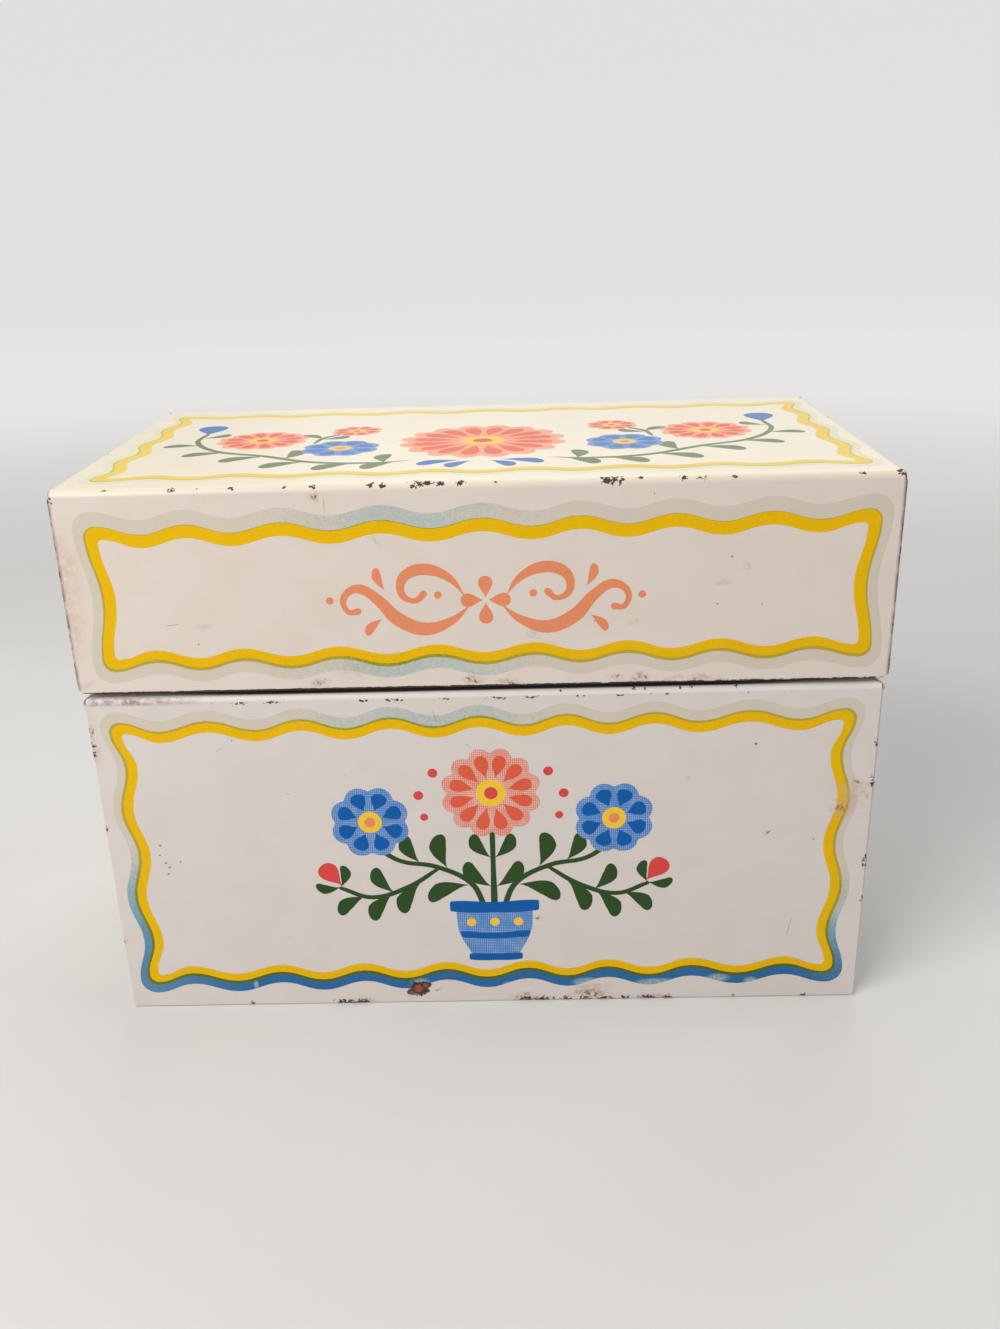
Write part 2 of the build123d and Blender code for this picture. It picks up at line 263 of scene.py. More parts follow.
@dataclass(frozen=True)
class WearAndPaintedLight:
    """The chips, stains, scratches and rust that the box has picked up in use, with the painted
    shade and highlight laid over them, in millimetres.

    A row of fold_chips or foot_chips holds a place across and a size, and one of seam_lines has the
    height between the two. The rows from stains to scratches are those that on_front reads.
    """

    graph: Graph
    lid_face: float = -36.8
    base_face: float = -36.3
    seam: float = 62.7
    shoulder: float = 60.5
    bend: float = 61.2
    wall_side: float = 65.9
    wall_depth: float = 35.9
    hem_hold: float = 1.28  # how well the paint holds along the hem, the corners and the shoulder
    corner_hold: float = 1.5
    shoulder_hold: float = 1.62
    fold_height: float = 96.5
    fold_depth: float = -36.3
    fold_chips: Rows = (
        (-57.4, 0.25), (-47.0, 0.35), (-43.0, 0.2), (-37.6, 0.3), (-29.3, 0.25), (-24.9, 0.4),
        (-15.9, 0.75), (-14.3, 0.6), (-9.2, 1.1), (-7.4, 1.0), (-5.3, 0.55), (-2.1, 0.8),
        (3.2, 0.2), (20.3, 1.0), (21.9, 1.1), (25.6, 0.3), (32.1, 0.6), (35.2, 0.7), (40.2, 0.35),
        (59.4, 0.55),
    )
    foot_chips: Rows = (
        (-27.0, 1.9), (-23.6, 1.8), (6.2, 1.7), (9.4, 2.0), (13.6, 1.0), (17.2, 1.2), (20.6, 1.4),
        (24.2, 1.1), (28.4, 1.6), (32.2, 1.1), (44.0, 0.4), (56.7, 0.5), (-44.0, 0.4),
    )
    corner_chips: tuple[Place, ...] = (
        (65.8, -36.3, 43.2), (65.9, -36.3, 44.6), (65.9, -36.3, 28.8), (65.8, -36.3, 27.4),
        (66.1, -36.3, 50.8), (66.1, -36.3, 20.6), (-65.9, -36.3, 55.5), (-66.0, -36.3, 53.0),
        (-65.9, -36.3, 51.3), (-66.0, -36.3, 37.3), (-66.1, -36.3, 14.0), (66.5, -36.6, 95.9),
        (65.4, -36.0, 96.7), (-66.4, -36.6, 95.4), (66.4, 36.1, 96.5), (-66.4, 36.1, 96.3),
        (66.3, 36.2, 0.8), (-66.2, 36.2, 1.0), (40.0, 36.2, 0.2), (-41.0, 35.8, 96.6),
        (11.5, 35.8, 96.6), (12.9, 35.8, 96.5), (66.3, 11.0, 96.5), (-66.3, -8.0, 96.5),
        (-66.3, 21.5, 96.4), (66.1, 20.0, 0.4), (-66.1, -12.0, 0.4),
    )
    seam_lines: Rows = (
        (-39.8, 60.4, 1.5), (-34.8, 60.4, 1.8), (-19.7, 60.4, 1.1), (-14.8, 60.4, 2.2),
        (-5.8, 60.4, 0.7), (2.6, 60.4, 2.0), (8.0, 60.4, 1.4), (12.8, 61.4, 0.4), (15.9, 60.4, 0.4),
        (22.6, 60.4, 0.9), (25.2, 61.5, 0.5), (26.9, 61.5, 0.3), (30.5, 60.5, 0.5),
        (32.7, 61.5, 0.3), (34.5, 61.5, 0.3), (41.8, 61.5, 0.3), (-52.3, 63.0, 0.6),
        (-49.6, 63.0, 0.3),
    )
    stains: Rows = (
        (-24.9, 95.0, 1.2, 1.0), (-26.4, 64.0, 2.1, 1.2), (-1.2, 64.0, 2.9, 1.4),
        (4.6, 63.5, 2.6, 0.9), (22.0, 63.9, 1.9, 1.1), (26.2, 63.8, 2.1, 1.3),
        (35.8, 63.6, 2.5, 0.9), (63.2, 43.4, 2.4, 0.8, -25.0), (60.8, 38.6, 2.2, 3.2),
        (64.6, 41.0, 1.6, 0.7, -20.0), (8.5, 17.7, 1.2, 0.7), (-9.6, 3.0, 1.1, 0.5),
        (-13.2, 3.1, 2.9, 2.5), (6.5, 0.8, 4.6, 1.5), (17.8, 1.6, 4.6, 2.2),
        (29.0, 0.6, 4.0, 1.1), (-24.0, 0.6, 4.0, 1.1),
    )
    hazes: Rows = (
        (-65.8, 83.5, 3.4, 7.0), (-66.4, 80.0, 4.8, 16.0), (-65.9, 54.0, 1.8, 8.0),
        (-65.4, 64.4, 3.0, 1.4), (-22.6, 65.9, 1.9, 0.8), (-60.0, 61.9, 9.0, 0.7),
        (18.3, 2.9, 4.6, 1.6), (62.0, 40.4, 4.4, 4.6), (38.0, 62.9, 26.0, 0.8),
    )
    scuffs: Rows = (
        (42.5, 82.1, 1.2, 0.9), (38.8, 79.7, 1.9, 0.9), (24.9, 73.4, 1.6, 0.8),
        (8.8, 71.6, 1.7, 1.0), (-15.6, 87.6, 0.8, 1.6, 30.0), (-20.6, 66.4, 1.2, 2.6, 35.0),
        (34.6, 45.0, 0.9, 0.8), (-44.4, 74.0, 2.0, 0.8),
    )
    rust_spots: Rows = ((-13.2, 3.1, 2.1, 1.7), (-12.0, 3.9, 1.1, 0.8), (-14.6, 2.3, 1.1, 0.7))
    specks: Rows = (
        (40.1, 83.9, 0.22, 0.22), (38.1, 76.1, 0.18, 0.16), (45.2, 75.9, 0.14, 0.14),
        (18.5, 73.6, 0.14, 0.14), (27.7, 94.2, 0.16, 0.16), (45.6, 51.1, 0.34, 0.24),
        (-45.5, 71.1, 0.16, 0.2), (8.5, 17.7, 0.3, 0.22), (48.5, 34.2, 0.66, 0.16, 42.0),
        (56.5, 32.7, 0.35, 0.1, 15.0), (48.6, 5.2, 0.18, 0.18), (-42.2, 53.6, 0.14, 0.14),
        (-56.8, 33.8, 0.3, 0.2, -35.0), (-57.1, 31.8, 0.24, 0.15, -30.0), (-56.3, 30.3, 0.26, 0.22),
        (-55.7, 29.4, 0.28, 0.2), (-56.1, 28.1, 0.24, 0.2), (-53.7, 30.5, 0.16, 0.24),
    )
    scratches: Rows = (
        (-49.4, 74.5, 1.7, 0.07, 6.0), (-23.4, 93.6, 0.06, 2.0), (-7.9, 57.3, 0.08, 1.5, 18.0),
        (-7.2, 57.0, 0.05, 1.0, 30.0), (-2.6, 51.9, 0.6, 0.07, -40.0),
        (53.3, 15.2, 0.09, 2.5, -10.0), (-33.6, 43.4, 0.6, 0.06), (-23.5, 46.7, 0.6, 0.05, -55.0),
        (-44.5, 52.0, 0.9, 0.05, 35.0), (14.0, 82.0, 0.7, 0.05, 50.0),
        (-36.0, 14.5, 0.8, 0.05, 20.0),
    )
    yellowed: Colour = linear(236, 226, 210)
    dusty: Colour = linear(176, 164, 156)
    hazy: Colour = linear(206, 172, 146)
    scuffed: Colour = linear(172, 156, 142)
    stained_brown: Colour = linear(186, 148, 118)
    stain_speck: Colour = linear(112, 78, 64)
    corner_edge_shade: Colour = linear(128, 108, 112)
    rubbed_line: Colour = linear(166, 140, 146)
    painted_shoulder_highlight: Colour = linear(243, 234, 230)
    crook_shade_and_grime_colour: Colour = linear(34, 27, 26)
    scratched: Colour = linear(105, 92, 88)
    specked: Colour = linear(78, 58, 48)
    dark_rust: Colour = linear(58, 44, 48)
    brown_rust: Colour = linear(104, 64, 50)
    bright_rust: Colour = linear(150, 82, 56)

    def nearness(self, place: Feed, marks: tuple[Mark, ...]) -> Value:
        """Say how near a place is to any of some marks.

        Args:
            place: The place.
            marks: The marks.

        Returns:
            1 at the middle of a mark, 0 at its edge, and less outside it.
        """
        nearest: Feed = -9.0
        for mark in marks:
            share = self.graph.away(place, mark.at, mark.reach, mark.lean)
            nearest = self.graph.math("MAXIMUM", nearest, 1.0 - share)
        return nearest

    def ragged(self, size: float, reach: float) -> Value:
        """Return the place on the box with its edges frayed.

        Args:
            size: The size of the frayed pieces.
            reach: How far they stray.

        Returns:
            The frayed place.
        """
        graph = self.graph
        stray = graph.vector("SUBTRACT", graph.grain(size, 3.0, output="Color"), (0.5, 0.5, 0.5))
        return graph.vector("ADD", graph.place, graph.vector("MULTIPLY", stray, (reach,) * 3))

    @cached_property
    def finely_frayed(self) -> Value:
        """The place on the box with a fine fray, for thin marks."""
        return self.ragged(0.5, 0.25)

    def chip_marks(self) -> tuple[Mark, ...]:
        """List the chips along the folds, the foot, the corners and the seam.

        Returns:
            The chips.
        """
        base = self.base_face
        fold = [
            Mark((across, self.fold_depth, self.fold_height),
                 (0.15 + 1.4 * wide, 0.3 + 0.7 * wide, 0.3 + 0.7 * wide))
            for across, wide in self.fold_chips
        ]
        foot = [
            Mark((across, base, 0.3), (1.4 * wide, 1.7, 1.0)) for across, wide in self.foot_chips
        ]
        corner = [Mark(at, (1.0, 1.1, 1.1)) for at in self.corner_chips]
        seam = [
            Mark((across, base + 0.2, height), (1.2 * wide, 1.2, 0.34))
            for across, height, wide in self.seam_lines
        ]
        return tuple(fold + foot + corner + seam)

    def chips(self) -> Value:
        """Return where the paint is gone.

        Returns:
            1 where the sheet is bare, and 0 where it is painted.
        """
        graph = self.graph
        x, y, z = graph.axes
        frayed = self.ragged(0.8, 0.5)
        marked = self.nearness(frayed, self.chip_marks())
        spots = self.nearness(frayed, on_front(self.base_face, self.rust_spots))
        patchy = graph.grain(1.6, 4.0, 0.65)
        flakes = graph.grain(0.55, 3.0, 0.62).ease(0.3, 0.7)
        deep, wide = abs(y), abs(x)
        off_wall = graph.math("LESS_THAN", deep, self.wall_depth)
        off_wall = off_wall * graph.math("LESS_THAN", wide, self.wall_side)
        hem = abs(z - (self.seam + 0.1)).ease(0.5, 0.1) + (patchy + x.ease(40.0, -10.0, 0.0, 0.14))
        hem = hem - self.hem_hold - off_wall
        corner = wide.ease(self.wall_side, 66.35) * deep.ease(self.wall_depth, 36.3)
        corner = corner + patchy - self.corner_hold
        shoulder = abs(z - self.shoulder).ease(0.45, 0.1) + patchy - self.shoulder_hold
        worn_lines = spots.most(hem).most(corner).most(shoulder)
        broken = (marked * 0.8 + flakes * 0.9).ease(0.84, 0.9)
        return broken.most((worn_lines + flakes * 0.35).ease(0.26, 0.32))

    def stained(self, rows: Rows, size: float) -> Value:
        """Return how strongly a place is stained, from 0 to 1, in patches of a size."""
        near = self.nearness(self.ragged(2.0 * size, 2.4 * size), on_front(self.lid_face, rows))
        return near.ease(0.0, 0.8) * self.graph.grain(size, 5.0, 0.7).ease(0.34, 0.64)

    def crook_shade_and_grime(self) -> Value:
        """Return how dark the crook under the lid's edge is painted, as painted shade with some
        grime.

        Returns:
            The strength of the painted shade and grime, from 0 to 1.
        """
        x, y, z = self.graph.axes
        inside = abs(y).ease(35.9, 35.5) * abs(x).ease(65.8, 65.4)
        ends = abs(x - 1.0).ease(26.0, 66.0, 0.0, 0.42)
        low = (z - ends).ease(61.3, 61.6)
        high = (z + self.graph.grain(1.2, 3.0)).ease(64.2, 62.9)
        return low * high * (inside * 0.92)

    def soil_and_paint_light(self, colour: Feed) -> tuple[Value, Value]:
        """Lay all that only changes the paint's colour over it: stains, dust, scratches, painted
        shade and a painted highlight.

        Args:
            colour: The paint's colour.

        Returns:
            The colour with its stains, painted shade and painted highlight, and the strength of the
            stains.
        """
        graph = self.graph
        x, y, z = graph.axes
        stain = self.stained(self.stains, 0.8)
        spotted = graph.grain(0.5, 3.0, 0.6) * stain.ease(0.2, 0.6)
        # painted shade: a broken dark line along the upright corner edges
        rim = abs(x).ease(65.7, 66.3) * abs(y).ease(35.6, 36.2)
        rim = rim * graph.grain(2.2, 4.0, 0.6).ease(0.3, 0.6, 0.35, 1.0)
        rubbed = x.ease(-40.0, -58.0) * abs(z - 61.0).ease(0.9, 0.2) * y.ease(-22.0, -35.0)
        rubbed = rubbed * graph.grain(1.8, 4.0, 0.65).ease(0.35, 0.6, 0.2, 0.9)
        # painted highlight: a light band along the base's shoulder bend, left out where the rubbed
        # line lies
        bend = abs(z - self.bend).ease(0.75, 0.35, 0.0, 0.6)
        line = self.nearness(self.finely_frayed, on_front(self.lid_face, self.scratches))
        speck = self.nearness(self.finely_frayed, on_front(self.lid_face, self.specks))
        for share, tint, way in (
            (graph.grain(9.0, 4.0, 0.6).ease(0.35, 0.7, 0.0, 0.16), self.yellowed, "MULTIPLY"),
            (graph.grain(0.3, 2.0, 0.6).ease(0.73, 0.79, 0.0, 0.5), self.dusty, "MULTIPLY"),
            (self.stained(self.hazes, 1.6) * 0.66, self.hazy, "MIX"),
            (self.stained(self.scuffs, 0.5) * 0.42, self.scuffed, "MIX"),
            (stain * 0.7, self.stained_brown, "MIX"),
            (spotted.ease(0.5, 0.6, 0.0, 0.85), self.stain_speck, "MIX"),
            (rim * 0.8, self.corner_edge_shade, "MULTIPLY"),
            (rubbed, self.rubbed_line, "MULTIPLY"),
            (bend * (1.0 - rubbed), self.painted_shoulder_highlight, "MIX"),
            # painted shade with some grime: the crook under the lid's edge is darkened, thinner
            # towards the ends
            (self.crook_shade_and_grime(), self.crook_shade_and_grime_colour, "MIX"),
            (line.ease(0.0, 0.5, 0.0, 0.6), self.scratched, "MIX"),
            (speck.ease(0.0, 0.4, 0.0, 0.85), self.specked, "MIX"),
        ):
            colour = graph.blend(share, colour, tint, way)
        return colour, stain

    def build(self) -> None:
        """Lay the nodes that take fresh paint and give it wear, stains, painted shade and a painted
        highlight.
        """
        graph = self.graph
        fresh = graph.add("NodeGroupInput", {}).outputs
        colour, stain = self.soil_and_paint_light(Value(graph, fresh["Paint"]))
        bare = self.chips()
        tone = graph.grain(0.9, 4.0, 0.7)
        rust = graph.blend(tone.ease(0.42, 0.62), self.dark_rust, self.brown_rust)
        core = self.nearness(self.finely_frayed, on_front(self.base_face, self.rust_spots))
        core = core + (tone - 0.5) * 0.9
        rust = graph.blend(core.ease(0.45, 0.7), rust, self.bright_rust)
        rough = Value(graph, fresh["Gloss"]) + graph.grain(3.0) * 0.12 + stain * 0.25
        height = graph.grain(5.0, 1.0) * 0.3 - bare + bare * graph.grain(0.25, 3.0) * 0.6
        graph.add("NodeGroupOutput", {
            "Colour": graph.blend(bare, colour, rust),
            "Roughness": bare.ease(0.0, 1.0, rough, 0.85),
            "Height": height,
        })


def worn_with_painted_light(graph: Graph, paint: Feed, gloss: float) -> list[Value]:
    """Pass fresh paint through the wear, the painted shade and the painted highlight, which are
    built once for every coat and ink to share.

    Args:
        graph: The material's nodes.
        paint: The fresh paint's colour.
        gloss: The fresh paint's roughness.

    Returns:
        The paint's colour with its wear, painted shade and painted highlight, and its roughness and
        height.
    """
    tree = bpy.data.node_groups.get("tin_wear_and_painted_light")
    if not tree:
        tree = bpy.data.node_groups.new("tin_wear_and_painted_light", "ShaderNodeTree")
        for name, way, kind in (
            ("Paint", "INPUT", "Color"), ("Gloss", "INPUT", "Float"), ("Colour", "OUTPUT", "Color"),
            ("Roughness", "OUTPUT", "Float"), ("Height", "OUTPUT", "Float"),
        ):
            tree.interface.new_socket(name, in_out=way, socket_type=f"NodeSocket{kind}")
        WearAndPaintedLight(Graph(tree)).build()
    node = graph.add("ShaderNodeGroup", {"Paint": paint, "Gloss": gloss}, node_tree=tree)
    return [Value(graph, node.outputs[name]) for name in ("Colour", "Roughness", "Height")]


class Finish:
    """A finish that is mixed once and then used wherever it is asked for."""

    name: str

    def material(self) -> bpy.types.Material:
        """Give the finish's material, which is mixed the first time.

        Returns:
            The material.
        """
        known = bpy.data.materials.get(self.name)
        if known:
            return known
        material = bpy.data.materials.new(self.name)
        material.use_nodes = True
        material.node_tree.nodes.clear()
        graph = Graph(material.node_tree)
        shader = graph.take("ShaderNodeBsdfPrincipled", "BSDF", self.mix(graph))
        output = graph.add("ShaderNodeOutputMaterial", {"Surface": shader})
        output.is_active_output = True
        return material

    def mix(self, graph: Graph) -> dict[str, Feed]:
        """Lay this finish's own nodes, and return what each named input of the shader takes."""
        raise NotImplementedError


@dataclass(frozen=True)
class BareTinplate(Finish):
    """The unpainted inside of the sheet, with drawn streaks, dull patches and a little rust."""

    name: str = "bare_tinplate"
    bright: Colour = linear(218, 215, 208)
    dull: Colour = linear(180, 174, 164)
    rust: Colour = linear(118, 74, 48)

    def layers(self, graph: Graph) -> tuple[Value, ...]:
        """Lay the bare metal's nodes.

        Args:
            graph: The material's nodes.

        Returns:
            The colour, roughness, share of metal and height.
        """
        drawn = graph.vector("MULTIPLY", graph.place, (0.06, 1.0, 1.0))
        streak = graph.grain(0.5, 4.0, 0.6, drawn)
        cloud = graph.grain(11.0, 5.0, 0.62)
        pitted = graph.grain(1.3, 5.0, 0.7).ease(0.66, 0.73)
        colour = graph.blend(cloud.ease(0.38, 0.66), self.bright, self.dull)
        colour = graph.blend(streak.ease(0.4, 0.7, 0.0, 0.3), colour, self.dull)
        colour = graph.blend(pitted, colour, self.rust)
        rough = cloud.ease(0.35, 0.7, 0.32, 0.5) + pitted * 0.3
        return colour, rough, pitted.ease(0.0, 1.0, 1.0, 0.1), streak * 0.2 + pitted


@dataclass(frozen=True)
class SteelWire(Finish):
    """Drawn steel wire that has gone dull, with brown in its low places."""

    name: str = "dull_steel_wire"
    bright: Colour = linear(150, 145, 138)
    dull: Colour = linear(112, 106, 100)
    rust: Colour = linear(98, 66, 48)

    def mix(self, graph: Graph) -> dict[str, Feed]:
        """Lay the wire's nodes.

        Args:
            graph: The material's nodes.

        Returns:
            What each named input of the shader takes.
        """
        drawn = graph.grain(0.25, 3.0, place=graph.vector("MULTIPLY", graph.place, (0.1, 1.0, 1.0)))
        cloud = graph.grain(1.6, 4.0, 0.65)
        rusty = cloud.ease(0.5, 0.68)
        colour = graph.blend(drawn.ease(0.35, 0.7), self.bright, self.dull)
        return {
            "Base Color": graph.blend(rusty, colour, self.rust),
            "Metallic": rusty.ease(0.0, 1.0, 1.0, 0.25),
            "Roughness": cloud.ease(0.3, 0.7, 0.34, 0.62),
            "Normal": graph.relief(drawn, SMALL_BUMP, 0.5),
        }


COOL_WHITE = linear(221, 213, 208)
PALE_GREY = linear(222, 221, 219)
BLACK = linear(0, 0, 0)


@dataclass(frozen=True)
class Enamel(Finish):
    """The box's white coat outside, and bare tinplate inside and along its cut edges."""

    name: str
    middle: Place
    half: Place
    cut_depth: float
    white: Colour = linear(226, 214, 204)
    lit_roof_cream: Colour = linear(236, 226, 203)
    roof: float = 96.5
    gloss: float = 0.27

    def mix(self, graph: Graph) -> dict[str, Feed]:
        """Lay the coat's nodes.

        Args:
            graph: The material's nodes.

        Returns:
            What each named input of the shader takes.
        """
        _, y, z = graph.axes
        normal = graph.take("ShaderNodeTexCoord", "Normal", {})
        # painted light: the roof and the top of its fold get a lighter cream than the walls' white
        paint = graph.blend(z.ease(self.roof - 0.9, self.roof + 0.2), self.white, self.lit_roof_cream)
        coat = worn_with_painted_light(graph, paint, self.gloss)
        from_middle = graph.vector("SUBTRACT", graph.place, self.middle)
        from_middle = graph.vector("DIVIDE", from_middle, self.half)
        outside = graph.vector("DOT_PRODUCT", from_middle, normal, output="Value").ease(-0.05, 0.05)
        cut = abs(graph.split(normal)[0]).above(0.7) * abs(y).above(self.cut_depth)
        rolled = y.above(self.half[1] + 0.15) * graph.grain(1.8, 4.0, 0.65).ease(0.42, 0.5)
        painted = outside * (1.0 - cut.most(rolled))
        colour, rough, metal, height = BareTinplate().layers(graph)
        return {
            "Base Color": graph.blend(painted, colour, coat[0]),
            "Roughness": painted.ease(0.0, 1.0, rough, coat[1]),
            "Metallic": metal * (1.0 - painted),
            "Normal": graph.relief(painted.ease(0.0, 1.0, height, coat[2]), PAINT_BUMP, 0.6),
        }


@dataclass(frozen=True)
class Ink(Finish):
    """One printed ink, solid or broken into dots."""

    name: str
    colour: Colour = COOL_WHITE
    screen: Screen = Screen.SOLID
    paper: Colour = COOL_WHITE
    uneven: Colour = linear(238, 240, 244)
    pitch: float = 0.48
    gloss: float = 0.30
    shine: float = 0.12

    def shade(self, graph: Graph) -> Value:
        """Lay the ink's own colour, before wear.

        Args:
            graph: The material's nodes.

        Returns:
            The colour.
        """
        patches = graph.grain(0.4, 3.0, 0.6).ease(0.3, 0.7, 0.0, 0.5)
        ink = graph.blend(patches, self.colour, self.uneven, "MULTIPLY")
        if self.screen is Screen.SOLID:
            return ink
        turns = 2.0 * math.pi / self.pitch
        ways = ((0.7 * turns,) * 3, (0.7 * turns, 0.14 * turns, -0.7 * turns))
        along, over = (
            graph.math("SINE", graph.vector("DOT_PRODUCT", graph.place, way, output="Value"))
            for way in ways
        )
        tone = graph.grain(2.6).ease(0.3, 0.7, -0.2, 0.2)
        level = along * over + tone + (2.0 * self.screen.value - 1.0)
        return graph.blend(level.ease(-0.22, 0.22, 0.22, 1.0), self.paper, ink)

    def mix(self, graph: Graph) -> dict[str, Feed]:
        """Lay the ink's nodes.

        Args:
            graph: The material's nodes.

        Returns:
            What each named input of the shader takes.
        """
        colour, rough, height = worn_with_painted_light(graph, self.shade(graph), self.gloss)
        return {
            "Base Color": colour,
            "Roughness": rough,
            "Specular IOR Level": self.shine,
            "Normal": graph.relief(height, PAINT_BUMP, 0.6),
        }


@dataclass(frozen=True)
class FadingInk(Ink):
    """The outer band's ink, grey high on the box and blue low on it, with grain where it turns."""

    grey: Colour = linear(214, 204, 188)
    sky: Colour = linear(166, 190, 194)
    pale: Colour = linear(128, 168, 184)
    deep: Colour = linear(44, 106, 164)
    face: float = -36.3
    thin: Rows = (
        (17.5, 4.0, 3.4), (30.0, 3.6, 5.0), (41.0, 4.4, 2.6), (47.0, 3.6, 1.6), (-12.8, 4.4, 1.9),
        (-43.0, 4.6, 0.6), (3.0, 3.4, 1.4),
    )

    def shade(self, graph: Graph) -> Value:
        """Lay the fading colour.

        Args:
            graph: The material's nodes.

        Returns:
            The colour.
        """
        x, _, z = graph.axes
        drift = (graph.grain(8.0, 3.0) - 0.5) * 22.0
        stipple = graph.grain(0.26, 2.0, 0.7) - 0.5
        high = (abs(x + 11.0) + drift).ease(34.0, 2.0, -0.1, 0.55) + stipple * 1.5
        colour = graph.blend(high.ease(0.1, 0.9), self.grey, self.sky)
        height = z + drift * 0.5 + x.ease(50.0, 60.0, 0.0, 8.0)
        low = height.ease(40.0, 3.0) + stipple * 0.6 - self.gaps(graph, stipple) * 0.85
        colour = graph.blend(low.ease(0.02, 0.5), colour, self.pale)
        return graph.blend(low.ease(0.4, 1.0) * x.ease(-64.0, -40.0, 0.6, 1.0), colour, self.deep)

    def gaps(self, graph: Graph, stipple: Value) -> Value:
        """Return where the blue at the foot came out thin, from 0 to 1.

        Args:
            graph: The material's nodes.
            stipple: The ink's fine grain.

        Returns:
            How thin it is.
        """
        near: Feed = 0.0
        for across, high, wide in self.thin:
            away = graph.away(graph.place, (across, self.face, high), (wide, 3.0, 1.1))
            near = graph.math("MAXIMUM", near, away.ease(1.15, 0.35))
        return near * (stipple * 2.2).ease(-0.3, 0.3, 0.35, 1.0)


@dataclass(frozen=True)
class OverprintInk(FadingInk):
    """The line where yellow lies over the outer band, olive over grey and green over blue."""

    grey: Colour = linear(190, 166, 60)
    sky: Colour = linear(122, 142, 22)
    pale: Colour = linear(132, 138, 44)
    deep: Colour = linear(84, 104, 40)


YELLOW = Ink("yellow_ink", linear(240, 190, 0))
PALE_YELLOW = Ink("pale_yellow_ink", linear(240, 208, 78))
OUTER_BAND = FadingInk("outer_band_ink")
OVERPRINT = OverprintInk("overprint_line")
GHOST_BAND = Ink("ghost_band_ink", linear(232, 228, 196))
GHOST_LINE = Ink("ghost_overprint_line", linear(206, 190, 92))
CORAL = Ink("coral_ink", linear(237, 146, 104))
ORANGE_RED = Ink("orange_red_ink", linear(232, 98, 70))
PINK_TINT = Ink("pink_tint", linear(236, 120, 90), Screen.PALE_TINT)
RED = Ink("red_ink", linear(224, 76, 72))
DEEP_BLUE = Ink("deep_blue_ink", linear(12, 94, 174))
BLUE_TINT = Ink("blue_tint", linear(66, 134, 206), Screen.TINT)
GREEN = Ink("green_ink", linear(50, 80, 38))
FADED_GREEN = Ink("faded_green_ink", linear(104, 126, 82))
FADED_BLUE = Ink("faded_blue_ink", linear(58, 116, 186))
PEACH = Ink("peach_ink", linear(248, 166, 132))
WARM_YELLOW = Ink("warm_yellow_ink", linear(250, 205, 62))


class Side(Enum):
    """The sides that carry print: the way each faces, and the turn that stands artwork up on it."""

    FRONT = ((0.0, -1.0, 0.0), (QUARTER_TURN, 0.0, 0.0))
    BACK = ((0.0, 1.0, 0.0), (QUARTER_TURN, 0.0, 2 * QUARTER_TURN))
    RIGHT = ((1.0, 0.0, 0.0), (QUARTER_TURN, 0.0, QUARTER_TURN))
    LEFT = ((-1.0, 0.0, 0.0), (QUARTER_TURN, 0.0, -QUARTER_TURN))
    TOP = ((0.0, 0.0, 1.0), (0.0, 0.0, 0.0))


@dataclass(frozen=True)
class Panel:
    """One flat panel that carries print, with its distance from the box's middle in millimetres."""

    body: str
    side: Side
    reach: float

    @property
    def name(self) -> str:
        """The panel's name, such as lid_front."""
        return f"{self.body}_{self.side.name.lower()}"

    def stand(self, piece: bpy.types.Object) -> None:
        """Stand a flat piece up on the panel.

        Args:
            piece: The piece.
        """
        way, turn = self.side.value
        piece.rotation_euler = turn
        piece.location = Vector(way) * self.reach * MM
        bpy.ops.object.transform_apply(location=True, rotation=True, scale=True)


LID_FRONT = Panel("lid", Side.FRONT, 36.8)
LID_BACK = Panel("lid", Side.BACK, 36.3)
LID_RIGHT = Panel("lid", Side.RIGHT, 66.7)
LID_LEFT = Panel("lid", Side.LEFT, 66.7)
LID_TOP = Panel("lid", Side.TOP, 96.8)
BASE_FRONT = Panel("base", Side.FRONT, 36.3)
BASE_BACK = Panel("base", Side.BACK, 36.3)
BASE_RIGHT = Panel("base", Side.RIGHT, 66.2)
BASE_LEFT = Panel("base", Side.LEFT, 66.2)


@dataclass(frozen=True)
class Knot:
    """One point of a drawn outline, with its two handles, in millimetres."""

    at: Point
    before: Point
    after: Point


Outline = list[Knot]


